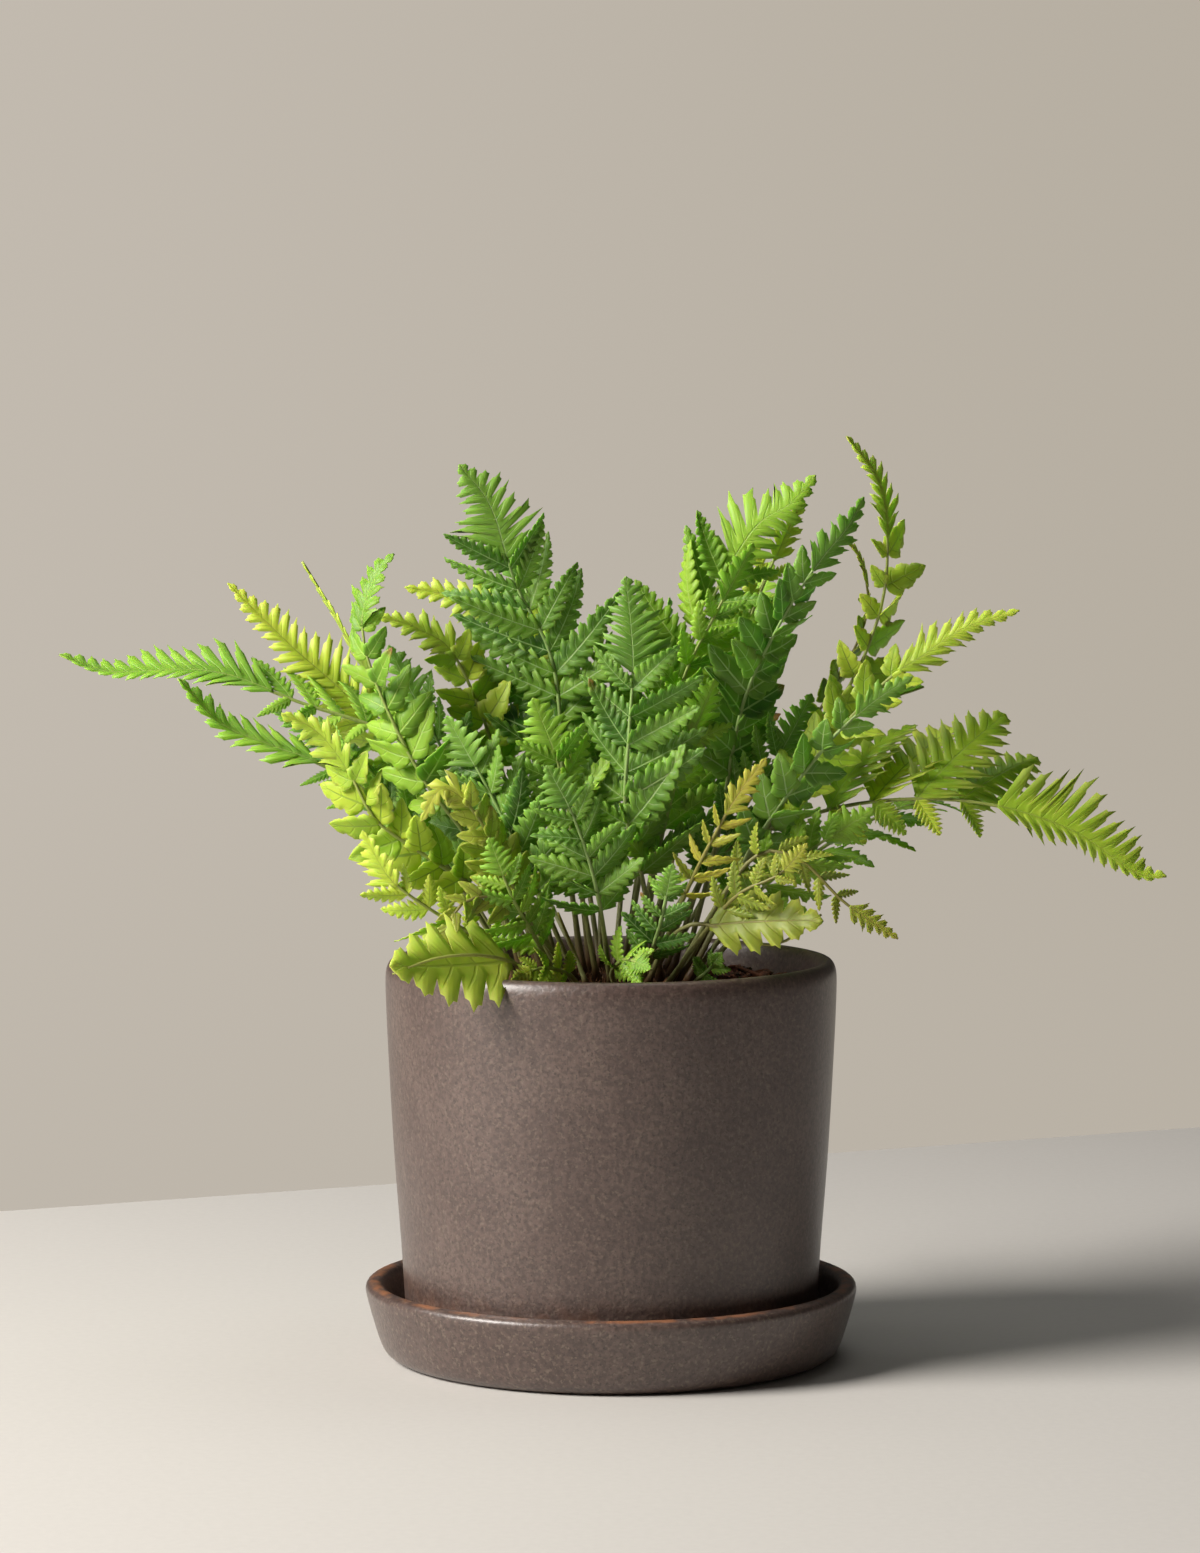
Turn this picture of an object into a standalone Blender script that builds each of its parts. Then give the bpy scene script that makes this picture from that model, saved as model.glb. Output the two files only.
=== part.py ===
"""Young fern in a turned stoneware pot on a saucer.

Everything is in metres with +Z up.  The pot axis is the Z axis and the
saucer stands on the plane z = 0.  Tables of points are written in
millimetres and scaled by MM.
"""
import math

import bmesh
import bpy
from mathutils import Vector
from mathutils.bvhtree import BVHTree

MM = 0.001
SEGMENTS = 48

SAUCER_RADIUS = 71.2
SAUCER_HEIGHT = 22.0
SAUCER_FLOOR = 5.5
POT_RADIUS = 65.1
POT_HEIGHT = 115.0
POT_STAND = 5.8
POT_FLOOR = 12.5
HOLE_RADIUS = 6.0
SOIL_TOP = 107.3
CROWN_CENTRE = (-2.0, -1.0)
CROWN_RADII = (31.0, 28.0)
CROWN_BASE = 107.7
CROWN_HEIGHT = 5.0
BASE_GAP = 0.4

STALK_BASE_RADIUS = 1.1
STALK_TIP_RADIUS = 0.4
LEAF_HALF_THICKNESS = 0.35
TEST_HALF_THICKNESS = 0.75
STEM_RING_STEP = 22.0

# Turned sections, (radius, height), walked from the underside to the top.
SAUCER_SECTION = (
    (0.0, 0.0), (61.5, 0.0), (65.0, 1.2), (66.5, 3.5), (68.2, 9.0),
    (70.2, 15.5), (SAUCER_RADIUS, 19.6), (70.4, 21.4), (68.3, SAUCER_HEIGHT), (66.2, 21.3),
    (65.4, 19.4), (64.4, 14.0), (62.6, 8.4), (60.4, 6.1), (57.8, SAUCER_FLOOR), (0.0, SAUCER_FLOOR),
)
POT_SECTION = (
    (HOLE_RADIUS, 7.0), (50.0, 7.0), (52.0, POT_STAND), (56.6, POT_STAND), (58.6, 6.8), (59.3, 8.8),
    (60.7, 34.0), (62.2, 51.0), (63.3, 68.0), (64.9, 100.0), (POT_RADIUS, 110.0), (64.5, 113.6),
    (62.4, POT_HEIGHT), (60.4, 113.8), (59.6, 110.8), (58.9, 96.0), (57.2, 60.0), (55.4, 30.0),
    (53.6, 16.0), (50.0, POT_FLOOR), (HOLE_RADIUS, POT_FLOOR),
)
SOIL_SECTION = (
    (0.0, 12.9), (49.6, 12.9), (53.1, 16.2), (54.9, 30.0), (56.7, 60.0), (58.35, 96.0),
    (58.6, 104.6), (56.0, 106.0), (42.0, SOIL_TOP), (0.0, SOIL_TOP),
)

COLOURS = {
    "dark": (0.035, 0.130, 0.030),
    "mid": (0.075, 0.260, 0.030),
    "lime": (0.300, 0.500, 0.040),
    "yellow": (0.480, 0.520, 0.080),
    "olive": (0.200, 0.270, 0.035),
    "orange": (0.520, 0.360, 0.060),
    "stoneware": (0.105, 0.066, 0.052),
    "soil": (0.060, 0.026, 0.014),
    "crown": (0.070, 0.042, 0.022),
}

FRONT = (0.0, -1.0, 0.2)
TILTED = (0.0, -0.6, 0.8)
BACK_UP = (0.0, 0.45, 0.9)
LIT_LEFT = (-0.4, -0.8, 0.45)
TURNED_LEFT = (-0.6, -0.75, 0.25)
TURNED_RIGHT = (0.6, -0.75, 0.25)
SIDE_LEFT = (-0.95, -0.25, 0.2)
SIDE_RIGHT = (0.95, -0.25, 0.2)
BACK_LEFT = (-0.5, 0.8, 0.35)
BACK_RIGHT = (0.5, 0.8, 0.35)

# name, colour, facing, blade start, pairs, left length, right length, route from crown to tip
FRONDS = (
    ("frond_centre_front", "dark", FRONT, 0.26, 9, 28, 36,
     ((14, -14), (9, -24, 139), (4, -32, 160), (5, -36, 183), (6, -38, 203), (4, -38, 226))),
    ("frond_tall_left", "dark", FRONT, 0.38, 10, 38, 34,
     ((-8, -8), (-13, -9, 150), (-16, -13, 198), (-27, -17, 223), (-34, -20, 245), (-43, -22, 257))),
    ("frond_upper_right", "mid", FRONT, 0.42, 9, 31, 26,
     ((7, -3), (14, -2, 155), (20, -4, 195), (27, -7, 215), (40, -10, 238), (51, -12, 246),
      (58, -12, 254))),
    ("frond_long_right", "lime", LIT_LEFT, 0.32, 11, 46, 15,
     ((17, -5), (28, -8, 142), (48, -10, 154), (74, -12, 161), (104, -14, 161), (131, -15, 153),
      (149, -16, 141), (158, -16, 140))),
    ("frond_long_left", "mid", TILTED, 0.36, 10, 16, 26,
     ((-25, -4), (-42, -6, 160), (-61, -8, 179), (-88, -10, 189), (-114, -11, 198), (-143, -12, 198),
      (-157, -13, 203))),
    ("frond_arching_dark", "dark", TURNED_RIGHT, 0.4, 9, 20, 18,
     ((20, -10), (30, -15, 150), (37, -18, 188), (47, -21, 211), (58, -23, 229), (66, -24, 239),
      (71, -24, 248))),
    ("frond_tall_lime_right", "lime", TURNED_RIGHT, 0.45, 8, 12, 20,
     ((22, 4), (40, 4, 150), (63, 3, 184), (74, 2, 205), (79, 0, 226), (77, -2, 250), (67, -4, 265))),
    ("frond_upright_olive_left", "mid", TURNED_LEFT, 0.42, 8, 18, 20,
     ((-16, -12), (-26, -18, 130), (-41, -22, 152), (-54, -25, 170), (-66, -27, 195), (-70, -27, 212),
      (-66, -27, 226), (-61, -27, 232))),
    ("frond_lower_left", "mid", TILTED, 0.36, 9, 15, 24,
     ((-26, -12), (-52, -17, 150), (-78, -21, 170), (-97, -24, 178), (-110, -26, 184),
      (-122, -28, 197))),
    ("frond_lime_comb_left", "lime", FRONT, 0.42, 7, 18, 22,
     ((-22, 3), (-50, 4, 155), (-72, 4, 186), (-92, 2, 205), (-110, 0, 223))),
    ("frond_hanging_lime", "lime", TURNED_LEFT, 0.34, 7, 20, 16,
     ((-23, -16), (-32, -26, 132), (-53, -34, 148), (-66, -38, 158), (-74, -40, 173),
      (-82, -41, 183), (-92, -42, 188))),
    ("frond_low_left", "lime", TURNED_LEFT, 0.3, 6, 20, 14,
     ((-19, -20), (-35, -36, 123), (-50, -44, 133), (-61, -48, 142), (-69, -50, 156))),
    ("frond_curled_yellow", "yellow", FRONT, 0.35, 6, 13, 13,
     ((-13, -21), (-28, -34, 140), (-38, -41, 160), (-47, -44, 167), (-53, -45, 158))),
    ("frond_hanging_olive", "olive", FRONT, 0.4, 6, 10, 10,
     ((-9, -25), (-27, -44, 134), (-41, -52, 136), (-49, -55, 121))),
    ("leaf_over_rim", "yellow", (0.0, -0.85, 0.55), 0.45, 5, 16, 14,
     ((-16, -23), (-26, -46, 118), (-36, -58, 122), (-48, -65, 122), (-60, -69, 118))),
    ("frond_small_lime_right", "lime", FRONT, 0.42, 7, 16, 14,
     ((21, -15), (48, -17, 160), (74, -18, 192), (88, -20, 203), (100, -22, 211), (115, -24, 216))),
    ("frond_round_dark_right", "dark", TURNED_RIGHT, 0.4, 6, 16, 16,
     ((18, -19), (40, -28, 150), (60, -33, 178), (72, -36, 190), (84, -38, 198))),
    ("frond_twisted_right", "olive", FRONT, 0.4, 6, 12, 12,
     ((16, -20), (38, -32, 145), (52, -37, 147), (65, -40, 135), (80, -43, 125))),
    ("frond_young_orange", "orange", FRONT, 0.4, 6, 10, 13,
     ((10, -22), (21, -40, 138), (29, -46, 155), (36, -48, 167), (43, -49, 176))),
    ("frond_low_olive_right", "olive", FRONT, 0.35, 5, 12, 13,
     ((5, -24), (22, -43, 129), (44, -51, 124), (58, -55, 133))),
    ("frond_small_olive_right", "olive", FRONT, 0.5, 4, 12, 12,
     ((14, -24), (33, -48, 136), (46, -56, 144), (54, -58, 153))),
    ("frond_bright_inner", "mid", TURNED_RIGHT, 0.5, 6, 18, 18,
     ((3, -12), (12, -15, 160), (20, -18, 195), (29, -21, 214), (40, -23, 235))),
    ("frond_inner_left_low", "mid", FRONT, 0.3, 7, 26, 26,
     ((-4, -18), (-10, -28, 145), (-14, -33, 170), (-22, -36, 192))),
    ("frond_inner_left_wide", "dark", TURNED_LEFT, 0.33, 7, 25, 27,
     ((-10, -17), (-22, -29, 140), (-34, -33, 165), (-46, -35, 187))),
    ("frond_front_low", "dark", FRONT, 0.35, 6, 22, 22,
     ((0, -24), (-4, -42, 138), (-10, -48, 158), (-18, -50, 174))),
    ("frond_inner_right_low", "mid", TURNED_RIGHT, 0.33, 7, 25, 27,
     ((8, -15), (14, -21, 150), (21, -25, 176), (29, -29, 197))),
    ("frond_pale_inner_left", "lime", TURNED_LEFT, 0.5, 6, 18, 18,
     ((-6, 3), (-12, 1, 160), (-22, -1, 203), (-38, -4, 217), (-59, -6, 222))),
    ("frond_round_lime", "lime", FRONT, 0.5, 6, 14, 16,
     ((-15, -3), (-28, -8, 160), (-43, -12, 200), (-54, -14, 210), (-66, -16, 214))),
    ("frond_pale_inner_right", "lime", TURNED_RIGHT, 0.5, 6, 18, 16,
     ((10, 7), (24, 7, 170), (43, 6, 220), (55, 5, 248))),
    ("frond_thin_inner_right", "olive", SIDE_RIGHT, 0.55, 6, 11, 11,
     ((23, 11), (45, 12, 160), (66, 12, 195), (74, 10, 214), (72, 8, 229), (66, 6, 237))),
    ("frond_thin_inner_left", "lime", SIDE_LEFT, 0.45, 6, 15, 15,
     ((-20, 11), (-50, 12, 165), (-72, 12, 200), (-80, 10, 214), (-89, 8, 229))),
    ("frond_middle_left", "dark", TURNED_LEFT, 0.36, 7, 22, 22,
     ((-27, 6), (-44, 3, 138), (-60, 1, 158), (-76, -1, 172))),
    ("frond_mid_left_high", "dark", TURNED_LEFT, 0.33, 7, 24, 24,
     ((-19, -8), (-34, -13, 150), (-50, -16, 180), (-63, -18, 206))),
    ("frond_mid_right_high", "dark", TURNED_RIGHT, 0.33, 7, 24, 24,
     ((12, -8), (29, -11, 145), (45, -13, 170), (57, -13, 192))),
    ("frond_mid_right_low", "mid", TURNED_RIGHT, 0.33, 7, 22, 22,
     ((22, -11), (39, -20, 133), (56, -24, 148), (74, -27, 160))),
    ("frond_low_front_left", "mid", FRONT, 0.3, 6, 17, 17,
     ((-13, -26), (-21, -38, 124), (-28, -48, 138), (-34, -51, 154))),
    ("frond_low_front_right", "dark", FRONT, 0.3, 5, 15, 15,
     ((7, -27), (11, -38, 120), (14, -48, 132), (17, -53, 147))),
    ("frond_heart_middle", "mid", SIDE_RIGHT, 0.36, 8, 30, 30,
     ((-3, 6), (-3, 14, 150), (-3, 20, 190), (-4, 24, 216))),
    ("young_leaf_centre", "mid", FRONT, 0.3, 4, 12, 12,
     ((2, -26), (0, -30, 114), (4, -40, 119), (11, -49, 117))),
    ("young_leaf_left", "lime", FRONT, 0.3, 4, 10, 10,
     ((-9, -31), (-9.6, -32.4, 111), (-13, -38, 115), (-20, -45, 117), (-28, -50, 114))),
    ("young_leaf_right", "dark", FRONT, 0.3, 3, 9, 9,
     ((23, -27), (23.6, -28.5, 111), (27, -35, 115), (31, -41, 121))),
    ("dry_stalk_left", "orange", FRONT, 1.0, 0, 0, 0,
     ((-13, -13), (-20, -22, 126), (-27, -27, 142))),
    ("dry_stalk_front", "orange", FRONT, 1.0, 0, 0, 0,
     ((-7, -22), (-11, -21, 120), (-15, -30, 131))),
    ("dry_stalk_right", "orange", FRONT, 1.0, 0, 0, 0,
     ((11, -12), (15, -15, 130), (18, -18, 147))),
    ("frond_heart_left", "mid", SIDE_LEFT, 0.4, 8, 32, 30,
     ((-9, 9), (-14, 10, 160), (-18, 12, 200), (-22, 13, 232))),
    ("frond_heart_right", "dark", SIDE_RIGHT, 0.4, 8, 30, 32,
     ((4, 13), (10, 18, 155), (14, 22, 188), (17, 26, 218))),
    ("frond_back_right", "mid", BACK_UP, 0.36, 8, 26, 26,
     ((15, 15), (40, 36, 150), (68, 52, 180), (94, 62, 190))),
    ("frond_back_middle", "dark", BACK_UP, 0.36, 8, 28, 28,
     ((1, 22), (5, 48, 150), (8, 76, 176), (10, 103, 184))),
    ("frond_back_left", "mid", BACK_UP, 0.36, 8, 26, 26,
     ((-16, 18), (-40, 42, 150), (-66, 60, 178), (-90, 72, 188))),
    ("frond_side_left", "dark", (0.0, -0.3, 0.95), 0.36, 8, 24, 24,
     ((-27, 12), (-55, 24, 150), (-80, 34, 172), (-100, 40, 184))),
    ("frond_side_right", "mid", (0.0, -0.3, 0.95), 0.36, 8, 24, 24,
     ((25, 6), (58, 23, 142), (92, 31, 158), (120, 37, 157))),
    ("frond_back_low_right", "lime", BACK_UP, 0.36, 7, 22, 22,
     ((9, 21), (28, 52, 138), (46, 80, 152), (58, 98, 149))),
    ("frond_back_low_left", "lime", BACK_UP, 0.36, 7, 22, 22,
     ((-8, 23), (-26, 53, 140), (-42, 82, 154), (-52, 100, 150))),
    ("frond_back_tall_left", "dark", BACK_LEFT, 0.4, 8, 26, 26,
     ((-3, 17), (-11, 34, 160), (-20, 47, 203), (-30, 57, 232))),
    ("frond_back_tall_right", "mid", BACK_RIGHT, 0.4, 8, 26, 26,
     ((9, 15), (23, 29, 160), (37, 42, 203), (48, 51, 228))),
)


def clear_scene():
    """Take every object out of the starting scene."""
    for obj in list(bpy.data.objects):
        bpy.data.objects.remove(obj, do_unlink=True)


def make_material(name, colour, roughness):
    """A plain Principled material."""
    material = bpy.data.materials.new(name)
    material.use_nodes = True
    shader = material.node_tree.nodes["Principled BSDF"]
    shader.inputs["Base Color"].default_value = (*colour, 1.0)
    shader.inputs["Roughness"].default_value = roughness
    return material


def add_body(name, verts, faces, colour, roughness):
    """One closed mesh object, its faces turned outward."""
    mesh = bpy.data.meshes.new(name)
    mesh.from_pydata([tuple(v) for v in verts], [], faces)
    work = bmesh.new()
    work.from_mesh(mesh)
    bmesh.ops.recalc_face_normals(work, faces=work.faces)
    if work.calc_volume(signed=True) < 0.0:
        bmesh.ops.reverse_faces(work, faces=work.faces)
    work.to_mesh(mesh)
    work.free()
    mesh.materials.append(make_material("mat_" + name, colour, roughness))
    obj = bpy.data.objects.new(name, mesh)
    bpy.context.scene.collection.objects.link(obj)
    return obj


def turned(section, segments):
    """Vertices and faces of a section turned about the Z axis."""
    verts = []
    rows = []
    for radius, height in section:
        if radius == 0.0:
            rows.append([len(verts)])
            verts.append(Vector((0.0, 0.0, height * MM)))
            continue
        row = []
        for i in range(segments):
            angle = 2.0 * math.pi * i / segments
            row.append(len(verts))
            verts.append(Vector((radius * math.cos(angle), radius * math.sin(angle), height)) * MM)
        rows.append(row)
    closed_ring = section[0][0] != 0.0
    pairs = list(zip(rows, rows[1:]))
    if closed_ring:
        pairs.append((rows[-1], rows[0]))
    faces = []
    for low, high in pairs:
        for i in range(segments):
            j = (i + 1) % segments
            if len(low) == 1:
                faces.append((low[0], high[i], high[j]))
            elif len(high) == 1:
                faces.append((low[i], low[j], high[0]))
            else:
                faces.append((low[i], low[j], high[j], high[i]))
    return verts, faces


def crown_height(x, y):
    """Top of the crown in mm above the plane, or the soil top beside it."""
    u = (x - CROWN_CENTRE[0]) / CROWN_RADII[0]
    v = (y - CROWN_CENTRE[1]) / CROWN_RADII[1]
    left = 1.0 - u * u - v * v
    if left <= 0.0:
        return SOIL_TOP
    return CROWN_BASE + CROWN_HEIGHT * math.sqrt(left)


def crown_shape():
    """A low mound of old leaf bases with a flat underside."""
    rings, count = 5, 28
    verts = [Vector((CROWN_CENTRE[0], CROWN_CENTRE[1], CROWN_BASE)) * MM]
    faces = []
    for ring in range(rings):
        lift = ring / rings
        reach = math.cos(lift * math.pi / 2.0)
        for i in range(count):
            angle = 2.0 * math.pi * i / count
            ripple = 1.0 - 0.03 * (1.0 + math.sin(5.0 * angle + ring))
            x = CROWN_CENTRE[0] + CROWN_RADII[0] * reach * ripple * math.cos(angle)
            y = CROWN_CENTRE[1] + CROWN_RADII[1] * reach * ripple * math.sin(angle)
            z = CROWN_BASE + (CROWN_HEIGHT - 0.3) * math.sin(lift * math.pi / 2.0)
            verts.append(Vector((x, y, z)) * MM)
    top = len(verts)
    verts.append(Vector((CROWN_CENTRE[0], CROWN_CENTRE[1], CROWN_BASE + CROWN_HEIGHT - 0.3)) * MM)
    for i in range(count):
        j = (i + 1) % count
        faces.append((0, 1 + j, 1 + i))
        for ring in range(rings - 1):
            low, high = 1 + ring * count, 1 + (ring + 1) * count
            faces.append((low + i, low + j, high + j, high + i))
        last = 1 + (rings - 1) * count
        faces.append((last + i, last + j, top))
    return verts, faces


def catmull(points, steps):
    """Finely sampled smooth curve through the points."""
    padded = [points[0] * 2.0 - points[1]] + list(points) + [points[-1] * 2.0 - points[-2]]
    curve = []
    for i in range(1, len(padded) - 2):
        a, b, c, d = padded[i - 1], padded[i], padded[i + 1], padded[i + 2]
        for k in range(steps):
            t = k / steps
            curve.append(0.5 * (2.0 * b + (c - a) * t + (2.0 * a - 5.0 * b + 4.0 * c - d) * t * t
                                + (3.0 * b - a - 3.0 * c + d) * t ** 3))
    curve.append(points[-1].copy())
    return curve


class Rachis:
    """Centre line of a frond with a moving frame: along, side and face."""

    def __init__(self, route, facing):
        x, y = route[0]
        points = [Vector((x, y, crown_height(x, y) + BASE_GAP))]
        points.extend(Vector(p) for p in route[1:])
        self.curve = catmull(points, 10)
        self.facing = Vector(facing).normalized()
        self.lengths = [0.0]
        for a, b in zip(self.curve, self.curve[1:]):
            self.lengths.append(self.lengths[-1] + (b - a).length)
        self.total = self.lengths[-1]

    def at(self, fraction):
        """Point and frame at a fraction of the length."""
        goal = min(max(fraction, 0.0), 1.0) * self.total
        k = 1
        while k < len(self.lengths) - 1 and self.lengths[k] < goal:
            k += 1
        span = self.lengths[k] - self.lengths[k - 1]
        t = (goal - self.lengths[k - 1]) / span
        point = self.curve[k - 1].lerp(self.curve[k], t)
        before = self.curve[max(k - 2, 0)]
        after = self.curve[min(k + 1, len(self.curve) - 1)]
        along = (after - before).normalized()
        face = self.facing - along * self.facing.dot(along)
        if face.length < 0.05:
            face = Vector((0.0, 0.0, 1.0)) - along * along.z
        face.normalize()
        return point, along, along.cross(face), face

    def radius(self, fraction):
        """Half thickness of the stalk at a fraction of the length."""
        return STALK_BASE_RADIUS + (STALK_TIP_RADIUS - STALK_BASE_RADIUS) * fraction ** 0.8


def ring(rachis, fraction, grow=0.0):
    """Four corners of the stalk: face, left, back and right."""
    point, _, side, face = rachis.at(fraction)
    r = rachis.radius(fraction) + grow
    return [point + face * r, point - side * r, point - face * r, point + side * r]


def tree(verts, faces):
    """Search tree with a bounding ball, for clearance tests."""
    centre = sum(verts, Vector()) / len(verts)
    reach = max((v - centre).length for v in verts)
    return BVHTree.FromPolygons([tuple(v) for v in verts], faces), centre, reach


def touches(candidate, others):
    """True where the candidate cuts through any of the others."""
    bvh, centre, reach = candidate
    for other, other_centre, other_reach in others:
        if (centre - other_centre).length < reach + other_reach and bvh.overlap(other):
            return True
    return False


def stalk_trees(rachis):
    """Thickened pieces of a stalk, in short lengths."""
    pieces = []
    count = max(4, int(rachis.total / 12.0))
    for k in range(count):
        low = ring(rachis, k / count, 0.45)
        high = ring(rachis, (k + 1) / count, 0.45)
        faces = [(i, (i + 1) % 4, 4 + (i + 1) % 4, 4 + i) for i in range(4)]
        pieces.append(tree(low + high, faces))
    return pieces


def length_profile(u):
    """Pinna length against position on the blade, 0 at its foot and 1 at its tip."""
    return min(1.0, 0.74 + 1.3 * u) * (1.0 - 0.74 * u ** 1.35)


def pinna(start, end, along, side, face, length, width, angle, lift):
    """Outline and mid points of one pinna: shoulders, tip, upper and lower middle."""
    root = (start + end) * 0.5
    heading = (along * math.cos(angle) + side * math.sin(angle) + face * lift).normalized()
    across = heading.cross(face).normalized()
    if across.dot(along) < 0.0:
        across.negate()
    up = across.cross(heading).normalized()
    if up.dot(face) < 0.0:
        up.negate()
    droop = Vector((0.0, 0.0, -0.05 * length))
    near = root + heading * length * 0.38
    tip = root + heading * length + droop
    middle = root + heading * length * 0.42
    return near - across * width, tip, near + across * width, middle, up


def pinna_tree(start, end, shape):
    """Thick stand-in for a pinna, from just outside the stalk to its tip."""
    low, tip, high, middle, up = shape
    a = start.lerp(low, 0.22)
    b = end.lerp(high, 0.22)
    verts = [a, low, tip, high, b]
    verts += [v + up * TEST_HALF_THICKNESS for v in (a, low, tip, high, b)]
    verts += [v - up * TEST_HALF_THICKNESS for v in (a, low, tip, high, b)]
    faces = [(0, 1, 2, 3, 4), (5, 6, 7, 8, 9), (10, 11, 12, 13, 14)]
    for i in range(5):
        j = (i + 1) % 5
        faces.append((5 + i, 5 + j, 10 + j, 10 + i))
    return tree(verts, faces)


def clear_pinna(start, end, frame, length, width, angle, blocked):
    """The first pose of a pinna that keeps clear of everything placed so far."""
    along, side, face = frame
    for shrink in (1.0, 0.8, 0.62):
        for lift in (0.0, 0.25, -0.25, 0.5, -0.5, 0.8, -0.8):
            shape = pinna(start, end, along, side, face, length * shrink, width * shrink, angle, lift)
            probe = pinna_tree(start, end, shape)
            if not touches(probe, blocked):
                blocked.append(probe)
                return shape
    return None


def frond_shape(rachis, blade, pairs, left, right, blocked):
    """Closed mesh of one frond: a four sided stalk carrying lens shaped pinnae."""
    stem_rings = max(2, int(rachis.total * blade / STEM_RING_STEP))
    stations = [blade * k / stem_rings for k in range(stem_rings)]
    spacing = (1.0 - blade) / (pairs + 0.6)
    starts = {}
    for k in range(pairs):
        u = blade + spacing * (k + 0.3)
        starts[len(stations)] = (k + 0.3) / (pairs + 0.6)
        stations.append(u)
        stations.append(u + spacing * 0.42)
    verts = []
    faces = []
    for fraction in stations:
        verts.extend(ring(rachis, fraction))
    faces.append((0, 1, 2, 3))
    gap = spacing * rachis.total
    for i in range(len(stations) - 1):
        a, b = 4 * i, 4 * (i + 1)
        shapes = {}
        if i in starts:
            _, along, side, face = rachis.at((stations[i] + stations[i + 1]) * 0.5)
            u = starts[i]
            angle = math.radians(60.0 - 20.0 * u)
            for corner, sign, longest in ((1, -1.0, left), (3, 1.0, right)):
                length = max(3.0, longest * length_profile(u))
                width = min(0.36 * length, 0.42 * gap)
                shapes[corner] = clear_pinna(verts[a + corner], verts[b + corner],
                                             (along, side * sign, face), length, width, angle, blocked)
        for corner in (1, 3):
            shape = shapes.get(corner)
            if shape is None:
                faces.append((a, a + corner, b + corner, b))
                faces.append((a + 2, a + corner, b + corner, b + 2))
                continue
            low, outer, high, middle, up = shape
            first = len(verts)
            verts.extend((low, outer, high))
            for top, sign in ((0, 1.0), (2, -1.0)):
                centre = len(verts)
                verts.append(middle + up * LEAF_HALF_THICKNESS * sign)
                loop = (a + top, a + corner, first, first + 1, first + 2, b + corner, b + top)
                for k in range(7):
                    faces.append((loop[k], loop[(k + 1) % 7], centre))
    tip = len(verts)
    verts.append(rachis.at(1.0)[0])
    last = 4 * (len(stations) - 1)
    for k in range(4):
        faces.append((last + k, last + (k + 1) % 4, tip))
    return [v * MM for v in verts], faces


def main():
    """Build every part of the plant."""
    clear_scene()
    obstacles = []
    turned_parts = (
        ("saucer", SAUCER_SECTION, "stoneware", 0.45),
        ("pot", POT_SECTION, "stoneware", 0.45),
        ("soil", SOIL_SECTION, "soil", 0.95),
    )
    for name, section, colour, roughness in turned_parts:
        verts, faces = turned(section, SEGMENTS)
        add_body(name, verts, faces, COLOURS[colour], roughness)
        obstacles.append(tree([v / MM for v in verts], faces))
    verts, faces = crown_shape()
    add_body("crown", verts, faces, COLOURS["crown"], 0.9)
    obstacles.append(tree([v / MM for v in verts], faces))

    lines = []
    for entry in FRONDS:
        rachis = Rachis(entry[7], entry[2])
        pieces = stalk_trees(rachis)
        lines.append((rachis, pieces))
        obstacles.extend(pieces)

    for entry, (rachis, pieces) in zip(FRONDS, lines):
        name, colour, _, blade, pairs, left, right, _ = entry
        blocked = [item for item in obstacles if item not in pieces]
        before = len(blocked)
        verts, faces = frond_shape(rachis, blade, pairs, left, right, blocked)
        obstacles.extend(blocked[before:])
        add_body(name, verts, faces, COLOURS[colour], 0.5)


main()
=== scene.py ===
"""A young fern in a stoneware pot on its saucer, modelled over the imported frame.

Lengths in the tables are millimetres and are turned to metres by MM.
"""
import math
import random

import bpy
import numpy as np
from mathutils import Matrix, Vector


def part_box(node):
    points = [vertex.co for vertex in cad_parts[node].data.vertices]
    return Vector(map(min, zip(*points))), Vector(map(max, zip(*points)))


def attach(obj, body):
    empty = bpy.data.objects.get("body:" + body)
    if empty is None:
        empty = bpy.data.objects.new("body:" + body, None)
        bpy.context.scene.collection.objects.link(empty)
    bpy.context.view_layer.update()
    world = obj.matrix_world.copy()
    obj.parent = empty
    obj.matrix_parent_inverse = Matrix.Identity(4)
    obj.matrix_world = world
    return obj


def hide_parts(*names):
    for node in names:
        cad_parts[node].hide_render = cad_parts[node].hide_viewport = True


bl_info = {
    "name": "Potted Fern",
    "version": (1, 0, 0),
    "blender": (4, 5, 0),
    "location": "3D View > Sidebar > Fern",
    "description": "Builds a potted fern with its saucer, soil and fronds",
    "category": "Object",
}

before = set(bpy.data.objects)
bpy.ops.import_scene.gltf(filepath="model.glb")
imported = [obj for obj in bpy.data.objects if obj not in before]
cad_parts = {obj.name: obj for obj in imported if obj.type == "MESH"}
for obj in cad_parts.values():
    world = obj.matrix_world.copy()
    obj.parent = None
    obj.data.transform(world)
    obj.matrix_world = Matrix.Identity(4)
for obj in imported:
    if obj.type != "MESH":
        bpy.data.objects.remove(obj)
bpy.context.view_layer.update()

MM = 0.001
POT_LOW, POT_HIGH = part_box("pot")
_, SAUCER_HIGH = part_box("saucer")

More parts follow.
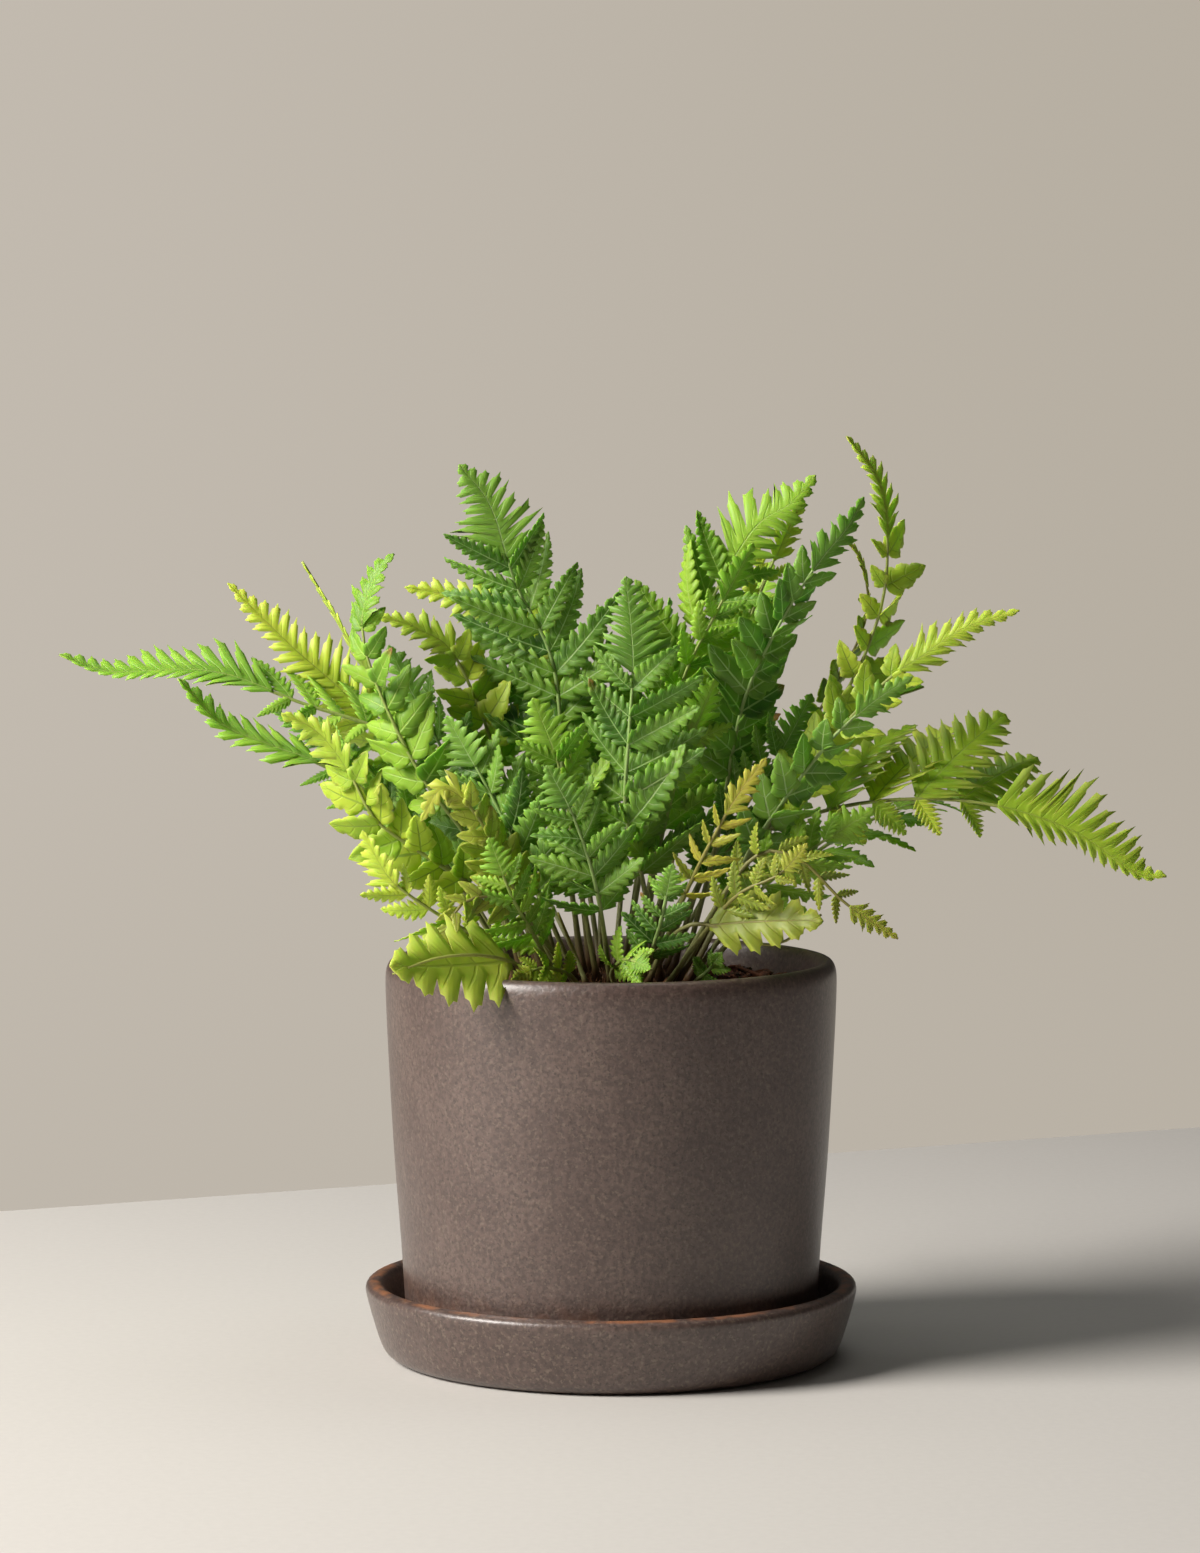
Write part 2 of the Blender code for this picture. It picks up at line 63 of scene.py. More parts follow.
# Turned sections (radius, height) in mm, from the underside round to the inside.
SAUCER_SECTION = (
    (30.0, 0.0), (60.4, 0.0), (61.8, 0.0), (63.6, 0.5), (65.4, 1.7), (66.5, 3.6), (67.4, 6.0),
    (69.2, 12.0), (70.6, 17.0), (71.1, 19.3), (71.0, 20.5), (70.2, 21.5), (68.4, 22.0), (66.7, 21.6),
    (65.8, 20.6), (65.3, 19.0), (64.3, 13.6), (63.3, 10.2), (62.2, 7.9), (60.6, 6.4), (58.2, 5.6),
    (55.0, 5.5), (30.0, 5.5),
)
POT_SECTION = (
    (6.0, 7.0), (49.6, 7.0), (50.6, 6.9), (51.6, 6.0), (52.8, 5.8), (56.2, 5.8), (57.9, 6.2),
    (58.9, 7.4), (59.3, 9.2), (60.7, 34.0), (62.2, 51.0), (63.3, 68.0), (64.9, 100.0), (65.1, 109.0),
    (65.0, 111.4), (64.5, 113.3), (63.6, 114.6), (62.4, 115.0), (61.2, 114.6), (60.2, 113.2),
    (59.7, 111.2), (58.95, 96.0), (57.2, 60.0), (55.4, 30.0), (54.0, 18.0), (52.0, 13.6), (48.0, 12.5),
    (7.0, 12.5), (6.0, 12.0),
)
SOIL_SECTION = (
    (8.0, 12.9), (49.6, 12.9), (53.1, 16.2), (54.9, 30.0), (56.7, 60.0), (58.3, 96.0), (58.4, 103.0),
    (57.0, 104.6), (50.0, 105.6), (42.0, 106.4), (32.0, 106.8), (20.0, 107.0), (8.0, 107.1),
)
CROWN_CENTRE = (-2.0, -1.0)
CROWN_RADII = (31.0, 28.0)
CROWN_BASE = 107.7
CROWN_HEIGHT = 5.0
SOIL_TOP = 107.3
SOIL_SURFACE = 104.0
SOIL_FLAT_RADIUS = 42.0
SOIL_FALL = 0.15
CHIP_GROUND = 107.1
CHIP_REACH = 56.0
CHIP_KINDS = 4
HEAP_CENTRE = (34.0, 14.0)
HEAP_HEIGHT = 2.6
HEAP_SPREAD = 700.0
SCALE_COUNT = 520
SCALE_SEED = 3
SCALE_SUNK = 3.4
RIM_RADIUS = 65.1
RIM_INNER = 59.7
RIM_GAP = 0.8

# Stage, in metres: where the paper floor ends, the round backdrop, the lamps and the camera.
FLOOR_SIZE = 6.0
FLOOR_EDGE = (0.0, 0.350, 0.0)
SWEEP_EDGE = (0.0, 0.345, 0.0)
EDGE_NORMAL = (-0.418, 0.908, 0.0)
BACKDROP_RADIUS = 2.6
BACKDROP_HEIGHT = 4.4
BACKDROP_MIDDLE = 1.2
SWEEP_DEPTH = -0.002
LAMP_AIM = (0.0, 0.0, 0.1)
WINDOW_PLACE = (-1.26, -0.55, 0.97)
WINDOW_SIZE = 0.8
SKY_PLACE = (0.15, 0.35, 1.5)
SKY_SIZE = 0.9
CAMERA_PLACE = (-0.0032, -1.366, 0.2633)
CAMERA_AIM = (-0.0032, 0.0, 0.1674)

FRONT = (0.0, -1.0, 0.2)
TILTED = (0.0, -0.6, 0.8)
BACK_UP = (0.0, 0.45, 0.9)
LIT_LEFT = (-0.4, -0.8, 0.45)
TURNED_LEFT = (-0.6, -0.75, 0.25)
TURNED_RIGHT = (0.6, -0.75, 0.25)
SIDE_LEFT = (-0.95, -0.25, 0.2)
SIDE_RIGHT = (0.95, -0.25, 0.2)
BACK_LEFT = (-0.5, 0.8, 0.35)
BACK_RIGHT = (0.5, 0.8, 0.35)

# name, colour, facing, blade start, pairs, left length, right length, route from crown to tip
FRONDS = (
    ("frond_centre_front", "dark", FRONT, 0.26, 9, 28, 36,
     ((14, -14), (9, -24, 139), (4, -32, 160), (5, -36, 183), (6, -38, 203), (4, -38, 226))),
    ("frond_tall_left", "dark", FRONT, 0.38, 10, 38, 34,
     ((-8, -8), (-13, -9, 150), (-16, -13, 198), (-27, -17, 223), (-34, -20, 245), (-43, -22, 257))),
    ("frond_upper_right", "mid", FRONT, 0.42, 9, 31, 26,
     ((7, -3), (14, -2, 155), (20, -4, 195), (27, -7, 215), (40, -10, 238), (51, -12, 246),
      (58, -12, 254))),
    ("frond_long_right", "lime", LIT_LEFT, 0.32, 11, 46, 15,
     ((17, -5), (28, -8, 142), (48, -10, 154), (74, -12, 161), (104, -14, 161), (131, -15, 153),
      (149, -16, 141), (158, -16, 140))),
    ("frond_long_left", "mid", TILTED, 0.36, 10, 16, 26,
     ((-25, -4), (-42, -6, 160), (-61, -8, 179), (-88, -10, 189), (-114, -11, 198), (-143, -12, 198),
      (-157, -13, 203))),
    ("frond_arching_dark", "dark", TURNED_RIGHT, 0.4, 9, 20, 18,
     ((20, -10), (30, -15, 150), (37, -18, 188), (47, -21, 211), (58, -23, 229), (66, -24, 239),
      (71, -24, 248))),
    ("frond_tall_lime_right", "lime", TURNED_RIGHT, 0.45, 8, 12, 20,
     ((22, 4), (40, 4, 150), (63, 3, 184), (74, 2, 205), (79, 0, 226), (77, -2, 250), (67, -4, 265))),
    ("frond_upright_olive_left", "mid", TURNED_LEFT, 0.42, 8, 18, 20,
     ((-16, -12), (-26, -18, 130), (-41, -22, 152), (-54, -25, 170), (-66, -27, 195), (-70, -27, 212),
      (-66, -27, 226), (-61, -27, 232))),
    ("frond_lower_left", "mid", TILTED, 0.36, 9, 15, 24,
     ((-26, -12), (-52, -17, 150), (-78, -21, 170), (-97, -24, 178), (-110, -26, 184),
      (-122, -28, 197))),
    ("frond_lime_comb_left", "lime", FRONT, 0.42, 7, 18, 22,
     ((-22, 3), (-50, 4, 155), (-72, 4, 186), (-92, 2, 205), (-110, 0, 223))),
    ("frond_hanging_lime", "lime", TURNED_LEFT, 0.34, 7, 20, 16,
     ((-23, -16), (-32, -26, 132), (-53, -34, 148), (-66, -38, 158), (-74, -40, 173),
      (-82, -41, 183), (-92, -42, 188))),
    ("frond_low_left", "lime", TURNED_LEFT, 0.3, 6, 20, 14,
     ((-19, -20), (-35, -36, 123), (-50, -44, 133), (-61, -48, 142), (-69, -50, 156))),
    ("frond_curled_yellow", "yellow", FRONT, 0.35, 6, 13, 13,
     ((-13, -21), (-28, -34, 140), (-38, -41, 160), (-47, -44, 167), (-53, -45, 158))),
    ("frond_hanging_olive", "olive", FRONT, 0.4, 6, 10, 10,
     ((-9, -25), (-27, -44, 134), (-41, -52, 136), (-49, -55, 121))),
    ("leaf_over_rim", "yellow", (0.0, -0.85, 0.55), 0.45, 5, 16, 14,
     ((-16, -23), (-26, -46, 118), (-36, -58, 122), (-48, -65, 122), (-60, -69, 118))),
    ("frond_small_lime_right", "lime", FRONT, 0.42, 7, 16, 14,
     ((21, -15), (48, -17, 160), (74, -18, 192), (88, -20, 203), (100, -22, 211), (115, -24, 216))),
    ("frond_round_dark_right", "dark", TURNED_RIGHT, 0.4, 6, 16, 16,
     ((18, -19), (40, -28, 150), (60, -33, 178), (72, -36, 190), (84, -38, 198))),
    ("frond_twisted_right", "olive", FRONT, 0.4, 6, 12, 12,
     ((16, -20), (38, -32, 145), (52, -37, 147), (65, -40, 135), (80, -43, 125))),
    ("frond_young_orange", "orange", FRONT, 0.4, 6, 10, 13,
     ((10, -22), (21, -40, 138), (29, -46, 155), (36, -48, 167), (43, -49, 176))),
    ("frond_low_olive_right", "olive", FRONT, 0.35, 5, 12, 13,
     ((5, -24), (22, -43, 129), (44, -51, 124), (58, -55, 133))),
    ("frond_small_olive_right", "olive", FRONT, 0.5, 4, 12, 12,
     ((14, -24), (33, -48, 136), (46, -56, 144), (54, -58, 153))),
    ("frond_bright_inner", "mid", TURNED_RIGHT, 0.5, 6, 18, 18,
     ((3, -12), (12, -15, 160), (20, -18, 195), (29, -21, 214), (40, -23, 235))),
    ("frond_inner_left_low", "mid", FRONT, 0.3, 7, 26, 26,
     ((-4, -18), (-10, -28, 145), (-14, -33, 170), (-22, -36, 192))),
    ("frond_inner_left_wide", "dark", TURNED_LEFT, 0.33, 7, 25, 27,
     ((-10, -17), (-22, -29, 140), (-34, -33, 165), (-46, -35, 187))),
    ("frond_front_low", "dark", FRONT, 0.35, 6, 22, 22,
     ((0, -24), (-4, -42, 138), (-10, -48, 158), (-18, -50, 174))),
    ("frond_inner_right_low", "mid", TURNED_RIGHT, 0.33, 7, 25, 27,
     ((8, -15), (14, -21, 150), (21, -25, 176), (29, -29, 197))),
    ("frond_pale_inner_left", "lime", TURNED_LEFT, 0.5, 6, 18, 18,
     ((-6, 3), (-12, 1, 160), (-22, -1, 203), (-38, -4, 217), (-59, -6, 222))),
    ("frond_round_lime", "lime", FRONT, 0.5, 6, 14, 16,
     ((-15, -3), (-28, -8, 160), (-43, -12, 200), (-54, -14, 210), (-66, -16, 214))),
    ("frond_pale_inner_right", "lime", TURNED_RIGHT, 0.5, 6, 18, 16,
     ((10, 7), (24, 7, 170), (43, 6, 220), (55, 5, 248))),
    ("frond_thin_inner_right", "olive", SIDE_RIGHT, 0.55, 6, 11, 11,
     ((23, 11), (45, 12, 160), (66, 12, 195), (74, 10, 214), (72, 8, 229), (66, 6, 237))),
    ("frond_thin_inner_left", "lime", SIDE_LEFT, 0.45, 6, 15, 15,
     ((-20, 11), (-50, 12, 165), (-72, 12, 200), (-80, 10, 214), (-89, 8, 229))),
    ("frond_middle_left", "dark", TURNED_LEFT, 0.36, 7, 22, 22,
     ((-27, 6), (-44, 3, 138), (-60, 1, 158), (-76, -1, 172))),
    ("frond_mid_left_high", "dark", TURNED_LEFT, 0.33, 7, 24, 24,
     ((-19, -8), (-34, -13, 150), (-50, -16, 180), (-63, -18, 206))),
    ("frond_mid_right_high", "dark", TURNED_RIGHT, 0.33, 7, 24, 24,
     ((12, -8), (29, -11, 145), (45, -13, 170), (57, -13, 192))),
    ("frond_mid_right_low", "mid", TURNED_RIGHT, 0.33, 7, 22, 22,
     ((22, -11), (39, -20, 133), (56, -24, 148), (74, -27, 160))),
    ("frond_low_front_left", "mid", FRONT, 0.3, 6, 17, 17,
     ((-13, -26), (-21, -38, 124), (-28, -48, 138), (-34, -51, 154))),
    ("frond_low_front_right", "dark", FRONT, 0.3, 5, 15, 15,
     ((7, -27), (11, -38, 120), (14, -48, 132), (17, -53, 147))),
    ("frond_heart_middle", "mid", SIDE_RIGHT, 0.36, 8, 30, 30,
     ((-3, 6), (-3, 14, 150), (-3, 20, 190), (-4, 24, 216))),
    ("young_leaf_centre", "mid", FRONT, 0.3, 4, 12, 12,
     ((2, -26), (0, -30, 114), (4, -40, 119), (11, -49, 117))),
    ("young_leaf_left", "lime", FRONT, 0.3, 4, 10, 10,
     ((-9, -31), (-9.6, -32.4, 111), (-13, -38, 115), (-20, -45, 117), (-28, -50, 114))),
    ("young_leaf_right", "dark", FRONT, 0.3, 3, 9, 9,
     ((23, -27), (23.6, -28.5, 111), (27, -35, 115), (31, -41, 121))),
    ("dry_stalk_left", "orange", FRONT, 1.0, 0, 0, 0,
     ((-13, -13), (-20, -22, 126), (-27, -27, 142))),
    ("dry_stalk_front", "orange", FRONT, 1.0, 0, 0, 0,
     ((-7, -22), (-11, -21, 120), (-15, -30, 131))),
    ("dry_stalk_right", "orange", FRONT, 1.0, 0, 0, 0,
     ((11, -12), (15, -15, 130), (18, -18, 147))),
    ("frond_heart_left", "mid", SIDE_LEFT, 0.4, 8, 32, 30,
     ((-9, 9), (-14, 10, 160), (-18, 12, 200), (-22, 13, 232))),
    ("frond_heart_right", "dark", SIDE_RIGHT, 0.4, 8, 30, 32,
     ((4, 13), (10, 18, 155), (14, 22, 188), (17, 26, 218))),
    ("frond_back_right", "mid", BACK_UP, 0.36, 8, 26, 26,
     ((15, 15), (40, 36, 150), (68, 52, 180), (94, 62, 190))),
    ("frond_back_middle", "dark", BACK_UP, 0.36, 8, 28, 28,
     ((1, 22), (5, 48, 150), (8, 76, 176), (10, 103, 184))),
    ("frond_back_left", "mid", BACK_UP, 0.36, 8, 26, 26,
     ((-16, 18), (-40, 42, 150), (-66, 60, 178), (-90, 72, 188))),
    ("frond_side_left", "dark", (0.0, -0.3, 0.95), 0.36, 8, 24, 24,
     ((-27, 12), (-55, 24, 150), (-80, 34, 172), (-100, 40, 184))),
    ("frond_side_right", "mid", (0.0, -0.3, 0.95), 0.36, 8, 24, 24,
     ((25, 6), (58, 23, 142), (92, 31, 158), (120, 37, 157))),
    ("frond_back_low_right", "lime", BACK_UP, 0.36, 7, 22, 22,
     ((9, 21), (28, 52, 138), (46, 80, 152), (58, 98, 149))),
    ("frond_back_low_left", "lime", BACK_UP, 0.36, 7, 22, 22,
     ((-8, 23), (-26, 53, 140), (-42, 82, 154), (-52, 100, 150))),
    ("frond_back_tall_left", "dark", BACK_LEFT, 0.4, 8, 26, 26,
     ((-3, 17), (-11, 34, 160), (-20, 47, 203), (-30, 57, 232))),
    ("frond_back_tall_right", "mid", BACK_RIGHT, 0.4, 8, 26, 26,
     ((9, 15), (23, 29, 160), (37, 42, 203), (48, 51, 228))),
)

# Leaf habit: pinna pattern, closeness of pairs, width of pinna, and where on the blade its tip begins.
PLAIN_HABIT = ("lobed", 1.3, 1.0, 0.72)
FINE_HABIT = ("fine", 1.3, 1.2, 0.72)

# Fronds whose habit is not the plain one.
HABITS = {
    "frond_long_right": ("comb", 0.85, 0.95, 0.55),
    "frond_lime_comb_left": ("finger", 1.5, 1.1, 0.34),
    "frond_thin_inner_left": ("finger", 1.5, 1.1, 0.40),
    "frond_long_left": ("fine", 1.5, 1.1, 0.46),
    "frond_lower_left": ("fine", 1.4, 1.1, 0.45),
    "frond_tall_lime_right": ("round", 1.2, 1.0, 0.66),
    "frond_small_lime_right": ("round", 1.2, 0.9, 0.55),
    "frond_arching_dark": ("round", 1.7, 0.85, 0.72),
    "frond_round_dark_right": ("round", 1.4, 1.0, 0.72),
    "frond_thin_inner_right": ("round", 1.3, 1.0, 0.72),
    "frond_hanging_olive": ("round", 1.5, 0.8, 0.80),
    "frond_hanging_lime": ("round", 1.5, 1.0, 0.66),
    "frond_low_left": ("lobed", 1.1, 1.1, 0.66),
    "frond_pale_inner_left": ("finger", 1.6, 1.2, 0.45),
    "frond_round_lime": ("round", 1.5, 1.0, 0.60),
    "frond_curled_yellow": ("round", 1.6, 1.0, 0.62),
    "frond_upper_right": ("fine", 1.25, 1.3, 0.58),
    "frond_tall_left": ("fine", 1.35, 1.1, 0.68),
    "frond_centre_front": ("fine", 1.2, 1.3, 0.70),
    "frond_heart_left": FINE_HABIT,
    "frond_heart_right": FINE_HABIT,
    "frond_back_tall_left": FINE_HABIT,
    "frond_back_middle": FINE_HABIT,
    "frond_mid_right_high": FINE_HABIT,
    "young_leaf_centre": ("lobed", 1.3, 1.5, 0.70),
    "young_leaf_left": ("lobed", 1.3, 1.4, 0.70),
    "young_leaf_right": ("lobed", 1.3, 1.4, 0.70),
    "frond_young_orange": ("finger", 1.3, 0.8, 0.60),
    "leaf_over_rim": ("broad", 1.0, 0.95, 0.44),
    "frond_low_olive_right": ("broad", 1.0, 0.75, 0.52),
    "frond_upright_olive_left": ("round", 1.2, 0.8, 0.72),
}

# pattern: lobes per side, notch depth, solid core, half width over length, forward sweep, taper power
PATTERNS = {
    "lobed": (6, 0.66, 0.28, 0.22, 0.13, 1.7),
    "fine": (8, 0.60, 0.32, 0.155, 0.10, 1.7),
    "broad": (5, 0.72, 0.24, 0.42, 0.16, 1.7),
    "comb": (8, 0.85, 0.16, 0.34, 0.20, 1.9),
    "round": (3, 0.26, 0.45, 0.34, 0.05, 1.7),
    "finger": (4, 0.36, 0.44, 0.20, 0.10, 1.5),
    "short_tip": (6, 0.78, 0.17, 1.0, 0.20, 1.1),
    "tip": (9, 0.84, 0.13, 1.0, 0.19, 1.0),
    "long_tip": (14, 0.84, 0.12, 1.0, 0.14, 0.95),
}


# colour group: vein, margin, tip and upper stalk
LEAF_DETAILS = {
    "dark": ("#a3c07c", "#8ab24a", "#7fac40", "#8fae62"),
    "mid": ("#a2c05e", "#9cc44c", "#94c63e", "#94a852"),
    "lime": ("#7f9a38", "#d2e26c", "#c8de4e", "#9aa850"),
    "yellow": ("#7f8a30", "#cdd666", "#c2cc52", "#9aa04a"),
    "olive": ("#665f2b", "#b3bc4c", "#b6a842", "#7d7a3c"),
    "orange": ("#7f6a2c", "#c9c858", "#bfa640", "#8f8a40"),
}


# Settings that many of the nodes share.
SMOOTH = {"interpolation_type": "SMOOTHSTEP"}
BLEND = {"out": 2, "data_type": "RGBA"}


def linear(code):
    """Linear colour of an sRGB hex value."""
    parts = [int(code[i:i + 2], 16) / 255.0 for i in (1, 3, 5)]
    return tuple(c / 12.92 if c <= 0.04045 else ((c + 0.055) / 1.055) ** 2.4 for c in parts) + (1.0,)


def colour(label, about, code):
    """A colour setting with its default."""
    return bpy.props.FloatVectorProperty(name=label, description=about, subtype="COLOR", size=3, min=0.0,
                                         max=1.0, default=linear(code)[:3])


def add(tree, kind, inputs=None, out=0, **settings):
    """Add a node, set its settings, link or set its inputs, and return one of its outputs."""
    node = tree.nodes.new(kind)
    for key, value in settings.items():
        setattr(node, key, value)
    for key, value in (inputs or {}).items():
        if isinstance(value, bpy.types.NodeSocket):
            tree.links.new(value, node.inputs[key])
        else:
            node.inputs[key].default_value = value
    return node.outputs[out]


def new_material(name):
    """An empty material with its node tree and its Principled shader."""
    material = bpy.data.materials.new(name)
    material.use_nodes = True
    return material, material.node_tree, material.node_tree.nodes["Principled BSDF"]


def per_mm(size):
    """Noise scale whose patches are about this many millimetres across."""
    return 1.0 / (size * MM)


def stoneware_material(settings, name, low, high, amount, pale_amount):
    """Reduction-fired stoneware, dipped in an iron glaze: satin, brown, finely speckled and pitted.

    The glaze breaks to rust where it runs thin, between the heights low and high in mm.
    """
    material, tree, shader = new_material("brown_speckled_stoneware_glaze_" + name)
    place = add(tree, "ShaderNodeTexCoord", out="Object")
    height = add(tree, "ShaderNodeSeparateXYZ", {0: place}, out="Z")
    cloud = add(tree, "ShaderNodeTexNoise", {"Vector": place, "Scale": per_mm(22.0), "Detail": 4.0})
    # Iron flecks are 0.3 to 0.6 mm; they are drawn at about 0.9 mm so that they show.
    fleck = add(tree, "ShaderNodeTexNoise", {"Vector": place, "Scale": per_mm(0.9), "Detail": 2.0})
    speck = add(tree, "ShaderNodeTexNoise", {"Vector": place, "Scale": per_mm(1.1), "Detail": 2.0})
    wear = add(tree, "ShaderNodeTexNoise", {"Vector": place, "Scale": per_mm(7.0), "Detail": 5.0})
    ripple = add(tree, "ShaderNodeTexNoise", {"Vector": place, "Scale": per_mm(3.0), "Detail": 3.0})
    grain = add(tree, "ShaderNodeTexNoise", {"Vector": place, "Scale": per_mm(1.4), "Detail": 4.0})
    clouded = add(tree, "ShaderNodeMapRange", {"Value": cloud, "From Min": 0.35, "From Max": 0.68}, **SMOOTH)
    body = add(tree, "ShaderNodeMix", {0: clouded, 6: (*settings.glaze, 1.0),
                                       7: (*settings.glaze_light, 1.0)},
               **BLEND)
    # Orange peel of 1 to 1.5 mm covers the whole glaze, darker in its pits.
    peel = add(tree, "ShaderNodeMapRange", {"Value": grain, "From Min": 0.62, "From Max": 0.38,
                                            "To Max": 0.55},
               **SMOOTH)
    body = add(tree, "ShaderNodeMix", {0: peel, 6: body, 7: (*settings.fleck, 1.0)}, **BLEND)
    dark = add(tree, "ShaderNodeMapRange", {"Value": fleck, "From Min": 0.56, "From Max": 0.72,
                                            "To Max": 0.8},
               **SMOOTH)
    body = add(tree, "ShaderNodeMix", {0: dark, 6: body, 7: (*settings.fleck, 1.0)}, **BLEND)
    pale = add(tree, "ShaderNodeMapRange", {"Value": speck, "From Min": 0.55, "From Max": 0.70,
                                            "To Max": pale_amount}, **SMOOTH)
    body = add(tree, "ShaderNodeMix", {0: pale, 6: body, 7: linear("#807062")}, **BLEND)
    thin = add(tree, "ShaderNodeMapRange", {"Value": height, "From Min": low * MM, "From Max": high * MM,
                                            "To Max": amount}, **SMOOTH)
    worn = add(tree, "ShaderNodeMapRange", {"Value": wear, "From Min": 0.40, "From Max": 0.66}, **SMOOTH)
    rust = add(tree, "ShaderNodeMath", {0: thin, 1: worn}, operation="MULTIPLY")
    body = add(tree, "ShaderNodeMix", {0: rust, 6: body, 7: (*settings.rust, 1.0)}, **BLEND)
    tree.links.new(body, shader.inputs["Base Color"])
    rough = add(tree, "ShaderNodeMath", {0: fleck, 1: 0.20, 2: 0.36}, operation="MULTIPLY_ADD")
    tree.links.new(rough, shader.inputs["Roughness"])
    pits = add(tree, "ShaderNodeMath", {0: grain, 1: 1.2, 2: ripple}, operation="MULTIPLY_ADD")
    bump = add(tree, "ShaderNodeBump", {"Height": pits, "Strength": 0.45, "Distance": 0.35 * MM})
    tree.links.new(bump, shader.inputs["Normal"])
    shader.inputs["IOR"].default_value = 1.6
    shader.inputs["Coat Weight"].default_value = 0.5
    shader.inputs["Coat Roughness"].default_value = 0.30
    return material


def soil_material(settings):
    """Composted bark and coir: dull red-brown chips of many tones."""
    material, tree, shader = new_material("bark_and_coir_potting_mix")
    place = add(tree, "ShaderNodeTexCoord", out="Object")
    tone = add(tree, "ShaderNodeTexNoise", {"Vector": place, "Scale": per_mm(3.5), "Detail": 3.0})
    grain = add(tree, "ShaderNodeTexNoise", {"Vector": place, "Scale": per_mm(0.7), "Detail": 3.0})
    # The darker soil colour is partly damp mix and partly painted shade, laid in patches about 3.5 mm across
    # over the bark colour.
    mixed = add(tree, "ShaderNodeMapRange", {"Value": tone, "From Min": 0.38, "From Max": 0.62}, **SMOOTH)
    body = add(tree, "ShaderNodeMix", {0: mixed, 6: (*settings.soil_damp_and_shade, 1.0),
                                       7: (*settings.soil_bark, 1.0)},
               **BLEND)
    dry = add(tree, "ShaderNodeMapRange", {"Value": grain, "From Min": 0.58, "From Max": 0.70}, **SMOOTH)
    body = add(tree, "ShaderNodeMix", {0: dry, 6: body, 7: linear("#8f5e43")}, **BLEND)
    tree.links.new(body, shader.inputs["Base Color"])
    shader.inputs["Roughness"].default_value = 0.92
    bump = add(tree, "ShaderNodeBump", {"Height": grain, "Strength": 0.7, "Distance": 0.6 * MM})
    tree.links.new(bump, shader.inputs["Normal"])
    return material


def crown_material():
    """Old leaf bases and chaffy scales: dry brown fibre."""
    material, tree, shader = new_material("dry_fern_crown_scales")
    place = add(tree, "ShaderNodeTexCoord", out="Object")
    tone = add(tree, "ShaderNodeTexNoise", {"Vector": place, "Scale": per_mm(2.5), "Detail": 3.0})
    mixed = add(tree, "ShaderNodeMapRange", {"Value": tone, "From Min": 0.35, "From Max": 0.66}, **SMOOTH)
    body = add(tree, "ShaderNodeMix", {0: mixed, 6: linear("#2b1c13"), 7: linear("#7a5230")}, **BLEND)
    tree.links.new(body, shader.inputs["Base Color"])
    shader.inputs["Roughness"].default_value = 0.85
    return material


